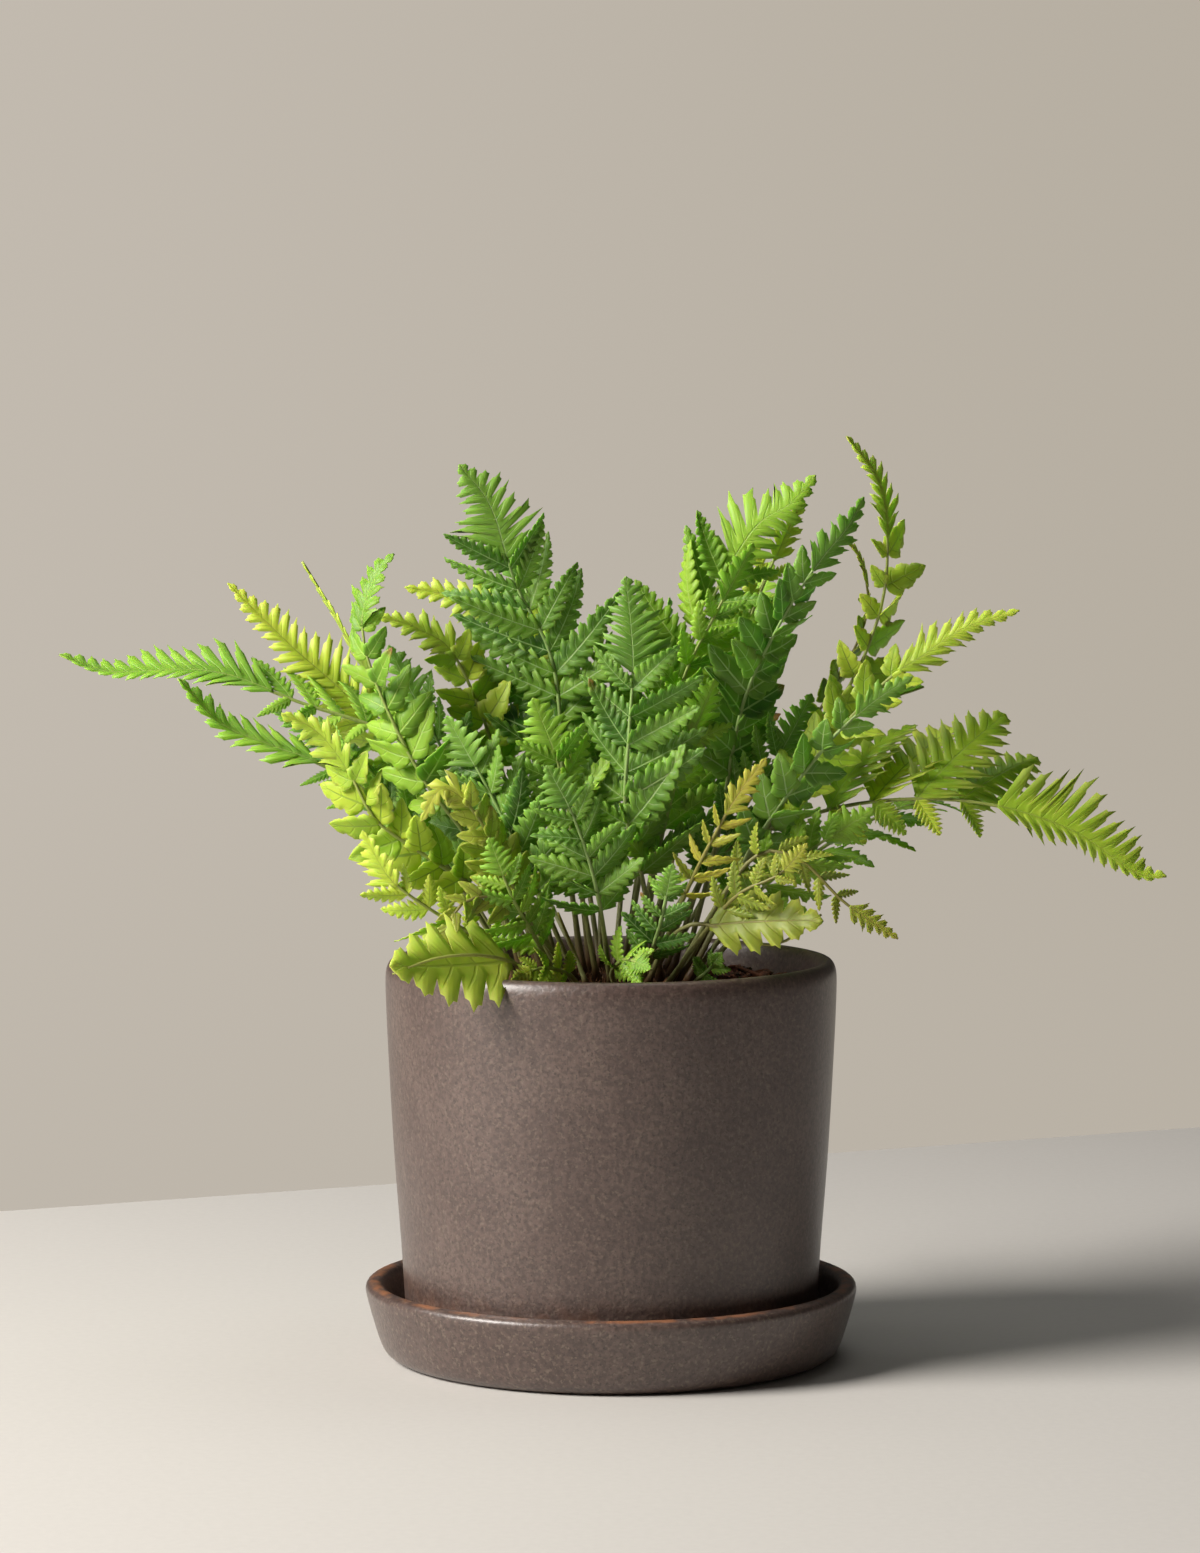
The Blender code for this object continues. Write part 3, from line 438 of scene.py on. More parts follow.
def leaf_material(group, shaded, lit):
    """Fern leaf tissue: waxy above, with a midrib, side veins and a paler margin."""
    vein, margin, tip, _ = (linear(code) for code in LEAF_DETAILS[group])
    material, tree, shader = new_material("fern_leaf_" + group)
    place = add(tree, "ShaderNodeTexCoord", out="Object")
    leaf = add(tree, "ShaderNodeAttribute", attribute_name="leaf")
    own, toward_tip, aged = add(tree, "ShaderNodeSeparateColor", {0: leaf}).node.outputs
    chart = add(tree, "ShaderNodeUVMap", uv_map="chart")
    along, across, _ = add(tree, "ShaderNodeSeparateXYZ", {0: chart}).node.outputs
    signed = add(tree, "ShaderNodeMath", {0: across, 1: 2.0, 2: -1.0}, operation="MULTIPLY_ADD")
    off = add(tree, "ShaderNodeMath", {0: signed}, operation="ABSOLUTE")
    slanted = add(tree, "ShaderNodeMath", {0: off, 1: -0.45, 2: along}, operation="MULTIPLY_ADD")
    lobe = add(tree, "ShaderNodeMath", {0: slanted}, operation="FRACT")
    side = add(tree, "ShaderNodeMath", {0: lobe, 1: 0.42}, operation="SUBTRACT")
    side = add(tree, "ShaderNodeMath", {0: side}, operation="ABSOLUTE")
    midrib = add(tree, "ShaderNodeMapRange", {"Value": off, "From Min": 0.10, "From Max": 0.03}, **SMOOTH)
    thin = add(tree, "ShaderNodeMapRange", {"Value": side, "From Min": 0.07, "From Max": 0.02}, **SMOOTH)
    fading = add(tree, "ShaderNodeMapRange", {"Value": off, "From Min": 0.95, "From Max": 0.6}, **SMOOTH)
    veins = add(tree, "ShaderNodeMath", {0: thin, 1: fading}, operation="MULTIPLY")
    # Painted light and shade: in patches about 9 mm across, and with each pinna in its own tone, the leaf
    # mixes its painted shaded colour with its painted lit colour.
    mottle = add(tree, "ShaderNodeTexNoise", {"Vector": place, "Scale": per_mm(9.0), "Detail": 2.0})
    mottle = add(tree, "ShaderNodeMath", {0: mottle, 1: 0.8, 2: -0.15}, operation="MULTIPLY_ADD")
    tone = add(tree, "ShaderNodeMath", {0: own, 1: 0.6, 2: mottle}, operation="MULTIPLY_ADD")
    tone = add(tree, "ShaderNodeMapRange", {"Value": tone, "From Min": 0.1, "From Max": 0.9}, **SMOOTH)
    body = add(tree, "ShaderNodeMix", {0: tone, 6: (*shaded, 1.0), 7: (*lit, 1.0)}, **BLEND)
    rim = add(tree, "ShaderNodeMapRange", {"Value": off, "From Min": 0.72, "From Max": 1.0, "To Max": 0.5})
    body = add(tree, "ShaderNodeMix", {0: rim, 6: body, 7: margin}, **BLEND)
    faint = add(tree, "ShaderNodeMath", {0: veins, 1: 0.35}, operation="MULTIPLY")
    body = add(tree, "ShaderNodeMix", {0: faint, 6: body, 7: vein}, **BLEND)
    clear = add(tree, "ShaderNodeMath", {0: midrib, 1: 0.8}, operation="MULTIPLY")
    body = add(tree, "ShaderNodeMix", {0: clear, 6: body, 7: vein}, **BLEND)
    young = add(tree, "ShaderNodeMath", {0: toward_tip, 1: 0.55}, operation="MULTIPLY")
    body = add(tree, "ShaderNodeMix", {0: young, 6: body, 7: tip}, **BLEND)
    dead = add(tree, "ShaderNodeMapRange", {"Value": aged, "From Min": 0.5, "From Max": 0.9}, **SMOOTH)
    body = add(tree, "ShaderNodeMix", {0: dead, 6: body, 7: linear("#8a5a2c")}, **BLEND)
    tree.links.new(body, shader.inputs["Base Color"])
    shader.inputs["Roughness"].default_value = 0.50
    shader.inputs["Specular IOR Level"].default_value = 0.35
    shader.inputs["Subsurface Weight"].default_value = 0.45
    shader.inputs["Subsurface Radius"].default_value = (0.6, 1.0, 0.2)
    shader.inputs["Subsurface Scale"].default_value = 1.5 * MM
    relief = add(tree, "ShaderNodeMath", {0: midrib, 1: veins}, operation="MAXIMUM")
    bump = add(tree, "ShaderNodeBump", {"Height": relief, "Strength": 0.5, "Distance": 0.3 * MM},
               invert=True)
    tree.links.new(bump, shader.inputs["Normal"])
    return material


def stalk_material(group):
    """Fern stipe: brown and scaly at its foot, green to straw above."""
    material, tree, shader = new_material("fern_stalk_" + group)
    place = add(tree, "ShaderNodeTexCoord", out="Object")
    leaf = add(tree, "ShaderNodeAttribute", attribute_name="leaf")
    climb = add(tree, "ShaderNodeSeparateColor", {0: leaf})
    foot = add(tree, "ShaderNodeMapRange", {"Value": climb, "From Min": 0.01, "From Max": 0.14}, **SMOOTH)
    body = add(tree, "ShaderNodeMix", {0: foot, 6: linear("#553a24"), 7: linear("#8b8f57")}, **BLEND)
    upper = add(tree, "ShaderNodeMapRange", {"Value": climb, "From Min": 0.20, "From Max": 0.60}, **SMOOTH)
    body = add(tree, "ShaderNodeMix", {0: upper, 6: body, 7: linear(LEAF_DETAILS[group][3])}, **BLEND)
    streak = add(tree, "ShaderNodeTexNoise", {"Vector": place, "Scale": per_mm(1.5), "Detail": 3.0})
    dull = add(tree, "ShaderNodeMapRange", {"Value": streak, "From Min": 0.45, "From Max": 0.7,
                                            "To Max": 0.3},
               **SMOOTH)
    body = add(tree, "ShaderNodeMix", {0: dull, 6: body, 7: linear("#6a6236")}, **BLEND)
    tree.links.new(body, shader.inputs["Base Color"])
    shader.inputs["Roughness"].default_value = 0.5
    return material


def deselect():
    """Clear the selection before an operator acts."""
    if bpy.context.object and bpy.context.object.mode != "OBJECT":
        bpy.ops.object.mode_set(mode="OBJECT")
    bpy.ops.object.select_all(action="DESELECT")


def apply_modifier(obj, kind, **settings):
    """Add a modifier to an object and apply it."""
    deselect()
    obj.select_set(True)
    bpy.context.view_layer.objects.active = obj
    modifier = obj.modifiers.new(kind.lower(), kind)
    for key, value in settings.items():
        setattr(modifier, key, value)
    bpy.ops.object.modifier_apply(modifier=modifier.name)


def turn(name, section, segments, ring_shaped):
    """A piece thrown on the wheel: a ring drawn up along its section."""
    deselect()
    radius, height = section[0]
    bpy.ops.mesh.primitive_circle_add(vertices=segments, radius=radius * MM, location=(0, 0, height * MM))
    piece = bpy.context.object
    piece.name = name
    bpy.ops.object.mode_set(mode="EDIT")
    bpy.ops.mesh.select_all(action="SELECT")
    for (r0, z0), (r1, z1) in zip(section, section[1:]):
        bpy.ops.mesh.extrude_region_move(TRANSFORM_OT_translate={"value": (0, 0, (z1 - z0) * MM)})
        bpy.ops.transform.resize(value=(r1 / r0, r1 / r0, 1.0), center_override=(0, 0, z1 * MM))
    bpy.ops.mesh.select_all(action="DESELECT")
    bpy.ops.mesh.select_non_manifold()
    if ring_shaped:
        bpy.ops.mesh.bridge_edge_loops()
    else:
        bpy.ops.mesh.fill_holes(sides=0)
    bpy.ops.mesh.select_all(action="SELECT")
    bpy.ops.mesh.normals_make_consistent(inside=False)
    bpy.ops.object.mode_set(mode="OBJECT")
    bpy.ops.object.transform_apply(location=True, rotation=True, scale=True)
    apply_modifier(piece, "SUBSURF", levels=1, render_levels=1)
    bpy.ops.object.shade_smooth()
    return piece


def claim(piece, nodes, slot, *materials):
    """Give a piece its materials and tie it to the frame."""
    piece.data.materials.clear()
    for material in materials:
        piece.data.materials.append(material)
    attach(piece, "root")
    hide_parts(*nodes)


def mesh_piece(name, verts, faces):
    """A mesh object at the origin."""
    mesh = bpy.data.meshes.new(name)
    mesh.from_pydata(verts, [], faces)
    mesh.update()
    piece = bpy.data.objects.new(name, mesh)
    bpy.context.scene.collection.objects.link(piece)
    return piece


class Pattern:
    """One flat pinna of unit length, lobed along both margins, used for many copies."""

    def __init__(self, name):
        lobes, depth, core, half, sweep, taper = PATTERNS[name]
        deselect()
        bpy.ops.mesh.primitive_grid_add(x_subdivisions=lobes * 6, y_subdivisions=4, size=1.0)
        points, faces = take_mesh(bpy.context.object)
        self.faces = np.array(faces)
        u = points[:, 0] + 0.5
        v = points[:, 1] * 2.0
        far = np.abs(v)
        phase = (u * lobes) % 1.0
        ripple = 0.13 * np.cos(6.0 * math.pi * phase) * np.sin(math.pi * phase)
        tooth = np.sin(math.pi * phase ** 0.8) ** 0.6 - ripple
        outline = half * np.minimum(1.0, 0.62 + 2.6 * u) * np.clip(1.0 - u ** taper, 0.0, 1.0) ** 0.75
        outline = np.maximum(outline, 0.006)
        notch = 1.0 - depth * (1.0 - tooth) * np.clip(1.25 - 0.55 * u, 0.0, 1.0)
        edge = outline * np.maximum(notch, core)
        inner = outline * core
        blend = np.clip(far * 2.0 - 1.0, 0.0, 1.0)
        reach = np.where(far <= 0.51, inner * far * 2.0, inner + (edge - inner) * blend)
        self.along = u + sweep * reach / half * blend
        self.across = np.sign(v) * reach
        self.height = 0.010 * np.cos(2.0 * math.pi * (phase - 0.4)) * far ** 2
        self.chart = np.stack([u * lobes, v * 0.5 + 0.5], axis=1)
        self.reach = u


def catmull(points, steps):
    """Finely sampled smooth curve through the points."""
    padded = [points[0] * 2.0 - points[1]] + list(points) + [points[-1] * 2.0 - points[-2]]
    curve = []
    for i in range(1, len(padded) - 2):
        a, b, c, d = padded[i - 1], padded[i], padded[i + 1], padded[i + 2]
        for k in range(steps):
            t = k / steps
            curve.append(0.5 * (2.0 * b + (c - a) * t + (2.0 * a - 5.0 * b + 4.0 * c - d) * t * t
                                + (3.0 * b - a - 3.0 * c + d) * t ** 3))
    curve.append(points[-1].copy())
    return curve


def crown_height(x, y):
    """Top of the crown in mm, or the soil top beside it."""
    u = (x - CROWN_CENTRE[0]) / CROWN_RADII[0]
    v = (y - CROWN_CENTRE[1]) / CROWN_RADII[1]
    left = 1.0 - u * u - v * v
    if left <= 0.0:
        return SOIL_TOP
    return CROWN_BASE + CROWN_HEIGHT * math.sqrt(left)


class Rachis:
    """Centre line of a frond with a moving frame: along, side and face."""

    def __init__(self, route, facing):
        x, y = route[0]
        points = [Vector((x, y, crown_height(x, y) - 1.2))]
        points.extend(Vector(p) for p in route[1:])
        self.curve = catmull(points, 10)
        self.facing = Vector(facing).normalized()
        self.lengths = [0.0]
        for a, b in zip(self.curve, self.curve[1:]):
            self.lengths.append(self.lengths[-1] + (b - a).length)
        self.total = self.lengths[-1]

    def at(self, fraction):
        """Point and frame at a fraction of the length."""
        goal = min(max(fraction, 0.0), 1.0) * self.total
        k = 1
        while k < len(self.lengths) - 1 and self.lengths[k] < goal:
            k += 1
        t = (goal - self.lengths[k - 1]) / (self.lengths[k] - self.lengths[k - 1])
        point = self.curve[k - 1].lerp(self.curve[k], t)
        before = self.curve[max(k - 2, 0)]
        after = self.curve[min(k + 1, len(self.curve) - 1)]
        along = (after - before).normalized()
        face = self.facing - along * self.facing.dot(along)
        if face.length < 0.05:
            face = Vector((0.0, 0.0, 1.0)) - along * along.z
        face.normalize()
        return point, along, along.cross(face), face


class Tissue:
    """Gathers the sheets of one frond: vertices, quads, chart and marks."""

    def __init__(self):
        self.points = []
        self.quads = []
        self.chart = []
        self.marks = []
        self.count = 0

    def lay(self, pattern, root, heading, across, up, length, width, bend, fold, sag, curve, twist,
            marks):
        """One pinna laid from its root along its heading."""
        u = pattern.along
        x = length * u * (1.0 - bend * bend * u * u / 6.0)
        y = pattern.across * length * width
        z = pattern.height * length + fold * np.abs(y)
        spin = twist * u
        y, z = y * np.cos(spin) - z * np.sin(spin), z * np.cos(spin) + y * np.sin(spin)
        y = y + curve * length * u * u
        z = z - length * bend * u * u * 0.5
        points = np.array(root) + np.outer(x, heading) + np.outer(y, across) + np.outer(z, up)
        points[:, 2] -= sag * length * u * u
        self.keep(pattern, points, marks)

    def lay_tip(self, pattern, rachis, start, left, right, fold, droop, marks):
        """The comb-like end of a blade, which follows the rachis to its tip."""
        points = np.empty((len(pattern.along), 3))
        phase = 6.3 * marks[0]
        for i, (u, y, h) in enumerate(zip(pattern.along, pattern.across, pattern.height)):
            point, _, side, face = rachis.at(start + (1.0 - start) * u)
            uneven = 1.0 + 0.16 * math.sin(19.0 * u + phase + (2.0 if y > 0.0 else 0.0))
            reach = y * uneven * (right if y > 0.0 else left)
            lift = fold * abs(reach) - droop * reach * reach + h * 12.0
            points[i] = point + side * reach + face * (lift + 0.3)
        self.keep(pattern, points, marks)

    def keep(self, pattern, points, marks):
        """Store one sheet with its chart and marks."""
        self.points.append(points)
        self.quads.append(pattern.faces + self.count)
        self.chart.append(pattern.chart)
        rows = np.empty((len(points), 4))
        rows[:, 0] = marks[0]
        rows[:, 1] = marks[1] * (0.4 + 0.6 * pattern.reach)
        rows[:, 2] = np.clip(marks[2] * (pattern.reach * 1.6 - 0.6), 0.0, 1.0)
        rows[:, 3] = 1.0
        self.marks.append(rows)
        self.count += len(points)

    def gather(self, name):
        """All the sheets as one piece, kept clear of the pot."""
        piece = mesh_piece(name, clear_of_rim(np.concatenate(self.points)) * MM, np.concatenate(self.quads))
        write_marks(piece, np.concatenate(self.marks), np.concatenate(self.chart))
        return piece


def stalk_mesh(rachis, foot, tip):
    """Closed tube along the rachis, with its position along the stalk as a mark."""
    rings = max(10, int(rachis.total / 4.0))
    sides = 8
    verts = []
    marks = []
    for k in range(rings + 1):
        f = k / rings
        point, _, side, face = rachis.at(f)
        radius = foot + (tip - foot) * f ** 0.7
        if f < 0.05:
            radius *= 1.0 + 0.6 * (1.0 - f / 0.05)
        for i in range(sides):
            angle = 2.0 * math.pi * i / sides
            groove = 1.0 - 0.25 * max(0.0, math.cos(angle)) ** 4
            verts.append(point + (face * math.cos(angle) + side * math.sin(angle)) * radius * groove)
            marks.append((f, 0.0, 0.0, 1.0))
    faces = []
    for k in range(rings):
        for i in range(sides):
            j = (i + 1) % sides
            faces.append((k * sides + i, k * sides + j, (k + 1) * sides + j, (k + 1) * sides + i))
    faces.append(tuple(range(sides - 1, -1, -1)))
    faces.append(tuple(range(rings * sides, (rings + 1) * sides)))
    return verts, faces, marks


def length_profile(u):
    """Pinna length against position on the blade, 0 at its foot and 1 at its tip."""
    return min(1.0, 0.74 + 1.3 * u) * (1.0 - 0.74 * u ** 1.35)


def grow_frond(entry, patterns, rng):
    """Stalk and leaf tissue of one frond, as two pieces; a dry stalk has no leaf."""
    name, group, facing, blade, pairs, left, right, route = entry
    style, closeness, breadth, tip_from = HABITS.get(name, PLAIN_HABIT)
    rachis = Rachis(route, facing)
    verts, faces, marks = stalk_mesh(rachis, 0.95 if pairs else 0.8, 0.32)
    stalk = mesh_piece(name + "_stalk", [v * MM for v in verts], faces)
    write_marks(stalk, marks, None)
    if not pairs:
        return stalk, None
    tissue = Tissue()
    if style == "broad":
        point, _, _, face = rachis.at(tip_from)
        end = rachis.at(1.0)[0]
        heading = (end - point).normalized()
        across = heading.cross(face).normalized()
        tissue.lay(patterns[style], point, heading, across, across.cross(heading),
                   (end - point).length * 1.04, breadth, -0.15, 0.12, 0.02, 0.05, 0.25, (0.35, 0.4, 0.0))
        return stalk, tissue.gather(name + "_blade")
    count = max(3, round(pairs * closeness))
    for k in range(count):
        u = (k + 0.35) / (count + 0.4)
        if u > tip_from:
            break
        where = blade + (1.0 - blade) * u
        point, along, side, face = rachis.at(where)
        angle = math.radians(60.0 - 20.0 * u)
        for sign, longest in ((-1.0, left), (1.0, right)):
            length = max(2.6, longest * length_profile(u) * rng.uniform(0.9, 1.06))
            turn_by = angle + math.radians(rng.uniform(-9.0, 9.0))
            lift = rng.uniform(-0.28, 0.32)
            out = side * sign
            heading = (along * math.cos(turn_by) + out * math.sin(turn_by) + face * lift).normalized()
            across = heading.cross(face).normalized()
            roll = rng.uniform(-0.5, 0.5)
            up = across.cross(heading).normalized()
            if up.dot(face) < 0.0:
                up.negate()
            rolled = across * math.cos(roll) + up * math.sin(roll)
            up = up * math.cos(roll) - across * math.sin(roll)
            across = rolled
            aged = rng.random() if rng.random() < 0.08 else 0.0
            toward = 1.0 if across.dot(along) > 0.0 else -1.0
            tissue.lay(patterns[style], point + out * 0.2, heading, across, up, length, breadth,
                       rng.uniform(-0.1, 0.65), rng.uniform(-0.35, 0.4), rng.uniform(0.0, 0.12),
                       toward * rng.uniform(0.02, 0.16), rng.uniform(-0.7, 0.7),
                       (rng.random(), u ** 1.5, aged))
    start = blade + (1.0 - blade) * tip_from
    taper = 0.66 * length_profile(tip_from)
    reach = rachis.total * (1.0 - start)
    tip = patterns["long_tip" if reach > 50.0 else "tip" if reach > 26.0 else "short_tip"]
    tissue.lay_tip(tip, rachis, start, left * taper, right * taper, rng.uniform(-0.15, 0.25),
                   rng.uniform(0.0, 0.02), (rng.random(), 0.8, 0.0))
    return stalk, tissue.gather(name + "_blade")


def clear_of_rim(points):
    """Leaf points moved off the pot's rim and wall, outwards or upwards, whichever is nearer."""
    radius = np.hypot(points[:, 0], points[:, 1])
    outer = RIM_RADIUS + RIM_GAP
    top = POT_HIGH[2] / MM + 0.7
    buried = (radius > RIM_INNER - 1.5) & (radius < outer) & (points[:, 2] < top)
    outward = outer - radius
    upward = top - points[:, 2]
    rise = buried & (upward < outward)
    push = buried & ~rise
    points[rise, 2] = top
    points[push, :2] *= (outer / radius[push])[:, None]
    return points


def write_marks(piece, marks, chart):
    """Store the per-point marks and the leaf chart on a mesh."""
    mesh = piece.data
    layer = mesh.color_attributes.new("leaf", "FLOAT_COLOR", "POINT")
    layer.data.foreach_set("color", np.asarray(marks, dtype=np.float32).ravel())
    uv = mesh.uv_layers.new(name="chart")
    if chart is not None:
        corners = np.empty(len(mesh.loops), dtype=np.int32)
        mesh.loops.foreach_get("vertex_index", corners)
        uv.data.foreach_set("uv", chart[corners].astype(np.float32).ravel())


def scatter(name, masters, poses):
    """Copies of small master meshes, gathered into one piece."""
    verts = []
    faces = []
    base = 0
    for which, centre, turn_matrix, scale in poses:
        points, quads = masters[which]
        placed = (points * scale) @ turn_matrix.T + centre
        verts.extend(map(tuple, placed * MM))
        faces.extend(tuple(int(i) + base for i in quad) for quad in quads)
        base += len(points)
    return mesh_piece(name, verts, faces)


def rotation(rng, tilt):
    """Turn matrix with a free heading and a limited tilt."""
    a, b, c = rng.uniform(0.0, 2.0 * math.pi), rng.uniform(-tilt, tilt), rng.uniform(-tilt, tilt)
    ca, sa, cb, sb, cc, sc = math.cos(a), math.sin(a), math.cos(b), math.sin(b), math.cos(c), math.sin(c)
    rz = np.array(((ca, -sa, 0.0), (sa, ca, 0.0), (0.0, 0.0, 1.0)))
    ry = np.array(((cb, 0.0, sb), (0.0, 1.0, 0.0), (-sb, 0.0, cb)))
    rx = np.array(((1.0, 0.0, 0.0), (0.0, cc, -sc), (0.0, sc, cc)))
    return rz @ ry @ rx


def take_mesh(obj):
    """Points and faces of a scratch object, which is then removed."""
    points = np.array([v.co for v in obj.data.vertices])
    faces = [tuple(f.vertices) for f in obj.data.polygons]
    bpy.data.objects.remove(obj, do_unlink=True)
    return points, faces


def chip_masters(rng):
    """Four splintered bark chips of unit size."""
    masters = []
    for _ in range(CHIP_KINDS):
        deselect()
        bpy.ops.mesh.primitive_cube_add(size=1.0)
        bpy.ops.object.mode_set(mode="EDIT")
        bpy.ops.mesh.select_all(action="SELECT")
        bpy.ops.mesh.subdivide(number_cuts=1, smoothness=0.4)
        bpy.ops.object.mode_set(mode="OBJECT")
        points, faces = take_mesh(bpy.context.object)
        points += np.array([[rng.uniform(-0.13, 0.13) for _ in range(3)] for _ in points])
        masters.append((points, faces))
    return masters


def scale_masters():
    """One dry scale: a thin cone bent over at its tip."""
    deselect()
    bpy.ops.mesh.primitive_cone_add(vertices=6, radius1=0.5, radius2=0.04, depth=1.0)
    bpy.ops.object.mode_set(mode="EDIT")
    bpy.ops.mesh.select_all(action="SELECT")
    bpy.ops.mesh.subdivide(number_cuts=2)
    bpy.ops.object.mode_set(mode="OBJECT")
    points, faces = take_mesh(bpy.context.object)
    points[:, 2] += 0.5
    points[:, 0] += 0.5 * points[:, 2] ** 2
    return [(points, faces)]


class PotSettings(bpy.types.PropertyGroup):
    """Sizes and colours of the pot, the saucer and the soil."""

    segments: bpy.props.IntProperty(
        name="Segments", description="Facets round the turned pieces", default=96, min=24, max=192)
    seed: bpy.props.IntProperty(
        name="Chip seed", description="Arrangement of the bark chips", default=5)
    chips: bpy.props.IntProperty(
        name="Bark chips", description="Number of loose chips on the soil", default=1400, min=0)
    glaze: colour("Glaze", "Body colour of the iron glaze", "#594741")
    glaze_light: colour("Light glaze", "Lighter clouds in the glaze", "#64524b")
    fleck: colour("Fleck", "Dark iron flecks in the glaze", "#392c27")
    rust: colour("Rust", "Glaze that runs thin on an edge", "#a06a48")
    # The darker soil colour below is partly damp mix and partly painted shade.
    soil_damp_and_shade: colour("Damp soil", "Shaded parts of the potting mix", "#2e1b14")
    soil_bark: colour("Bark", "Drier bark chips", "#7a4a34")


class FernSettings(bpy.types.PropertyGroup):
    """Growth and colours of the plant."""

    seed: bpy.props.IntProperty(
        name="Growth seed", description="Small differences between the pinnae", default=11)
    thickness: bpy.props.FloatProperty(
        name="Leaf thickness", description="Thickness of the leaf tissue", default=0.25 * MM,
        unit="LENGTH", subtype="DISTANCE")
    # Each colour group has a painted shaded tone and a painted lit tone; the leaves mix them per pinna and
    # in patches.
    dark_shaded: colour("Dark frond, deep", "Deeper tone of the old dark fronds", "#36621a")
    dark_lit: colour("Dark frond, bright", "Brighter tone of the old dark fronds", "#78a038")
    mid_shaded: colour("Green frond, deep", "Deeper tone of the grown green fronds", "#4f7c18")
    mid_lit: colour("Green frond, bright", "Brighter tone of the grown green fronds", "#92ba36")
    lime_shaded: colour("Lime frond, deep", "Deeper tone of the young lime fronds", "#7ca21e")
    lime_lit: colour("Lime frond, bright", "Brighter tone of the young lime fronds", "#bed840")
    yellow_shaded: colour("Yellow frond, deep", "Deeper tone of the fading fronds", "#81962a")
    yellow_lit: colour("Yellow frond, bright", "Brighter tone of the fading fronds", "#b9c648")
    olive_shaded: colour("Olive frond, deep", "Deeper tone of the olive fronds", "#566d1e")
    olive_lit: colour("Olive frond, bright", "Brighter tone of the olive fronds", "#92a234")
    orange_shaded: colour("Unfurling frond, deep", "Deeper tone of the unfurling frond", "#7f9028")
    orange_lit: colour("Unfurling frond, bright", "Brighter tone of the unfurling frond", "#b3ae3a")


class StageSettings(bpy.types.PropertyGroup):
    """Floor, backdrop, light and camera."""

    lens: bpy.props.FloatProperty(
        name="Lens", description="Focal length of the camera in mm", default=110.4)
    key_power: bpy.props.FloatProperty(
        name="Key light", description="Power of the soft window light on the left, in watts",
        default=47.0)
    top_power: bpy.props.FloatProperty(
        name="Top light", description="Power of the soft light overhead, in watts", default=3.5)
    ambient: bpy.props.FloatProperty(
        name="Room light", description="Strength of the light from the room", default=0.06)
    floor: colour("Floor", "Cream paper on the table", "#d0cdc8")
    # The two backdrop colours are painted light, brighter on the lit left side.
    backdrop_left: colour("Backdrop, left", "Backdrop on the lit side", "#c3bbb0")
    backdrop_right: colour("Backdrop, right", "Backdrop on the far side", "#b5ada0")


class FERN_OT_saucer(bpy.types.Operator):
    """Turn the saucer"""

    bl_idname = "fern.saucer"
    bl_label = "Saucer"

    def execute(self, context):
        piece = turn("saucer_glazed", SAUCER_SECTION, context.scene.fern_pot.segments, False)
        lip = SAUCER_HIGH[2] / MM
        glaze = stoneware_material(context.scene.fern_pot, "saucer", lip - 0.9, lip - 0.2, 0.9, 0.6)
        claim(piece, ("saucer",), "stoneware", glaze)
        return {"FINISHED"}


class FERN_OT_pot(bpy.types.Operator):
    """Turn the pot with its drainage hole"""

    bl_idname = "fern.pot"
    bl_label = "Pot"

    def execute(self, context):
        piece = turn("pot_glazed", POT_SECTION, context.scene.fern_pot.segments, True)
        foot = POT_LOW[2] / MM
        glaze = stoneware_material(context.scene.fern_pot, "pot", foot + 24.0, foot + 8.0, 0.22, 0.4)
        claim(piece, ("pot",), "stoneware", glaze)
        return {"FINISHED"}


class FERN_OT_soil(bpy.types.Operator):
    """Fill the pot with potting mix and loose bark chips"""

    bl_idname = "fern.soil"
    bl_label = "Soil"

    def execute(self, context):
        settings = context.scene.fern_pot
        rng = random.Random(settings.seed)
        body = turn("soil_body", SOIL_SECTION, 64, False)
        for vertex in body.data.vertices:
            if vertex.co.z > SOIL_SURFACE * MM:
                vertex.co.z += rng.uniform(-0.0005, 0.0003)
        poses = []
        for _ in range(settings.chips):
            radius = CHIP_REACH * math.sqrt(rng.random())
            angle = rng.uniform(0.0, 2.0 * math.pi)
            ground = CHIP_GROUND - max(0.0, radius - SOIL_FLAT_RADIUS) * SOIL_FALL
            x, y = radius * math.cos(angle), radius * math.sin(angle)
            from_heap = (x - HEAP_CENTRE[0]) ** 2 + (y - HEAP_CENTRE[1]) ** 2
            heap = HEAP_HEIGHT * math.exp(-from_heap / HEAP_SPREAD)
            centre = np.array((x, y, ground + rng.uniform(-0.3, 0.7) + heap * rng.random()))
            size = np.array((rng.uniform(2.0, 6.5), rng.uniform(1.2, 2.6), rng.uniform(0.6, 1.3)))
            poses.append((rng.randrange(CHIP_KINDS), centre, rotation(rng, 0.35), size))
        chips = scatter("soil_chips", chip_masters(rng), poses)
        material = soil_material(settings)
        claim(body, ("soil",), "soil", material)
        claim(chips, ("soil",), "soil", material)
        return {"FINISHED"}


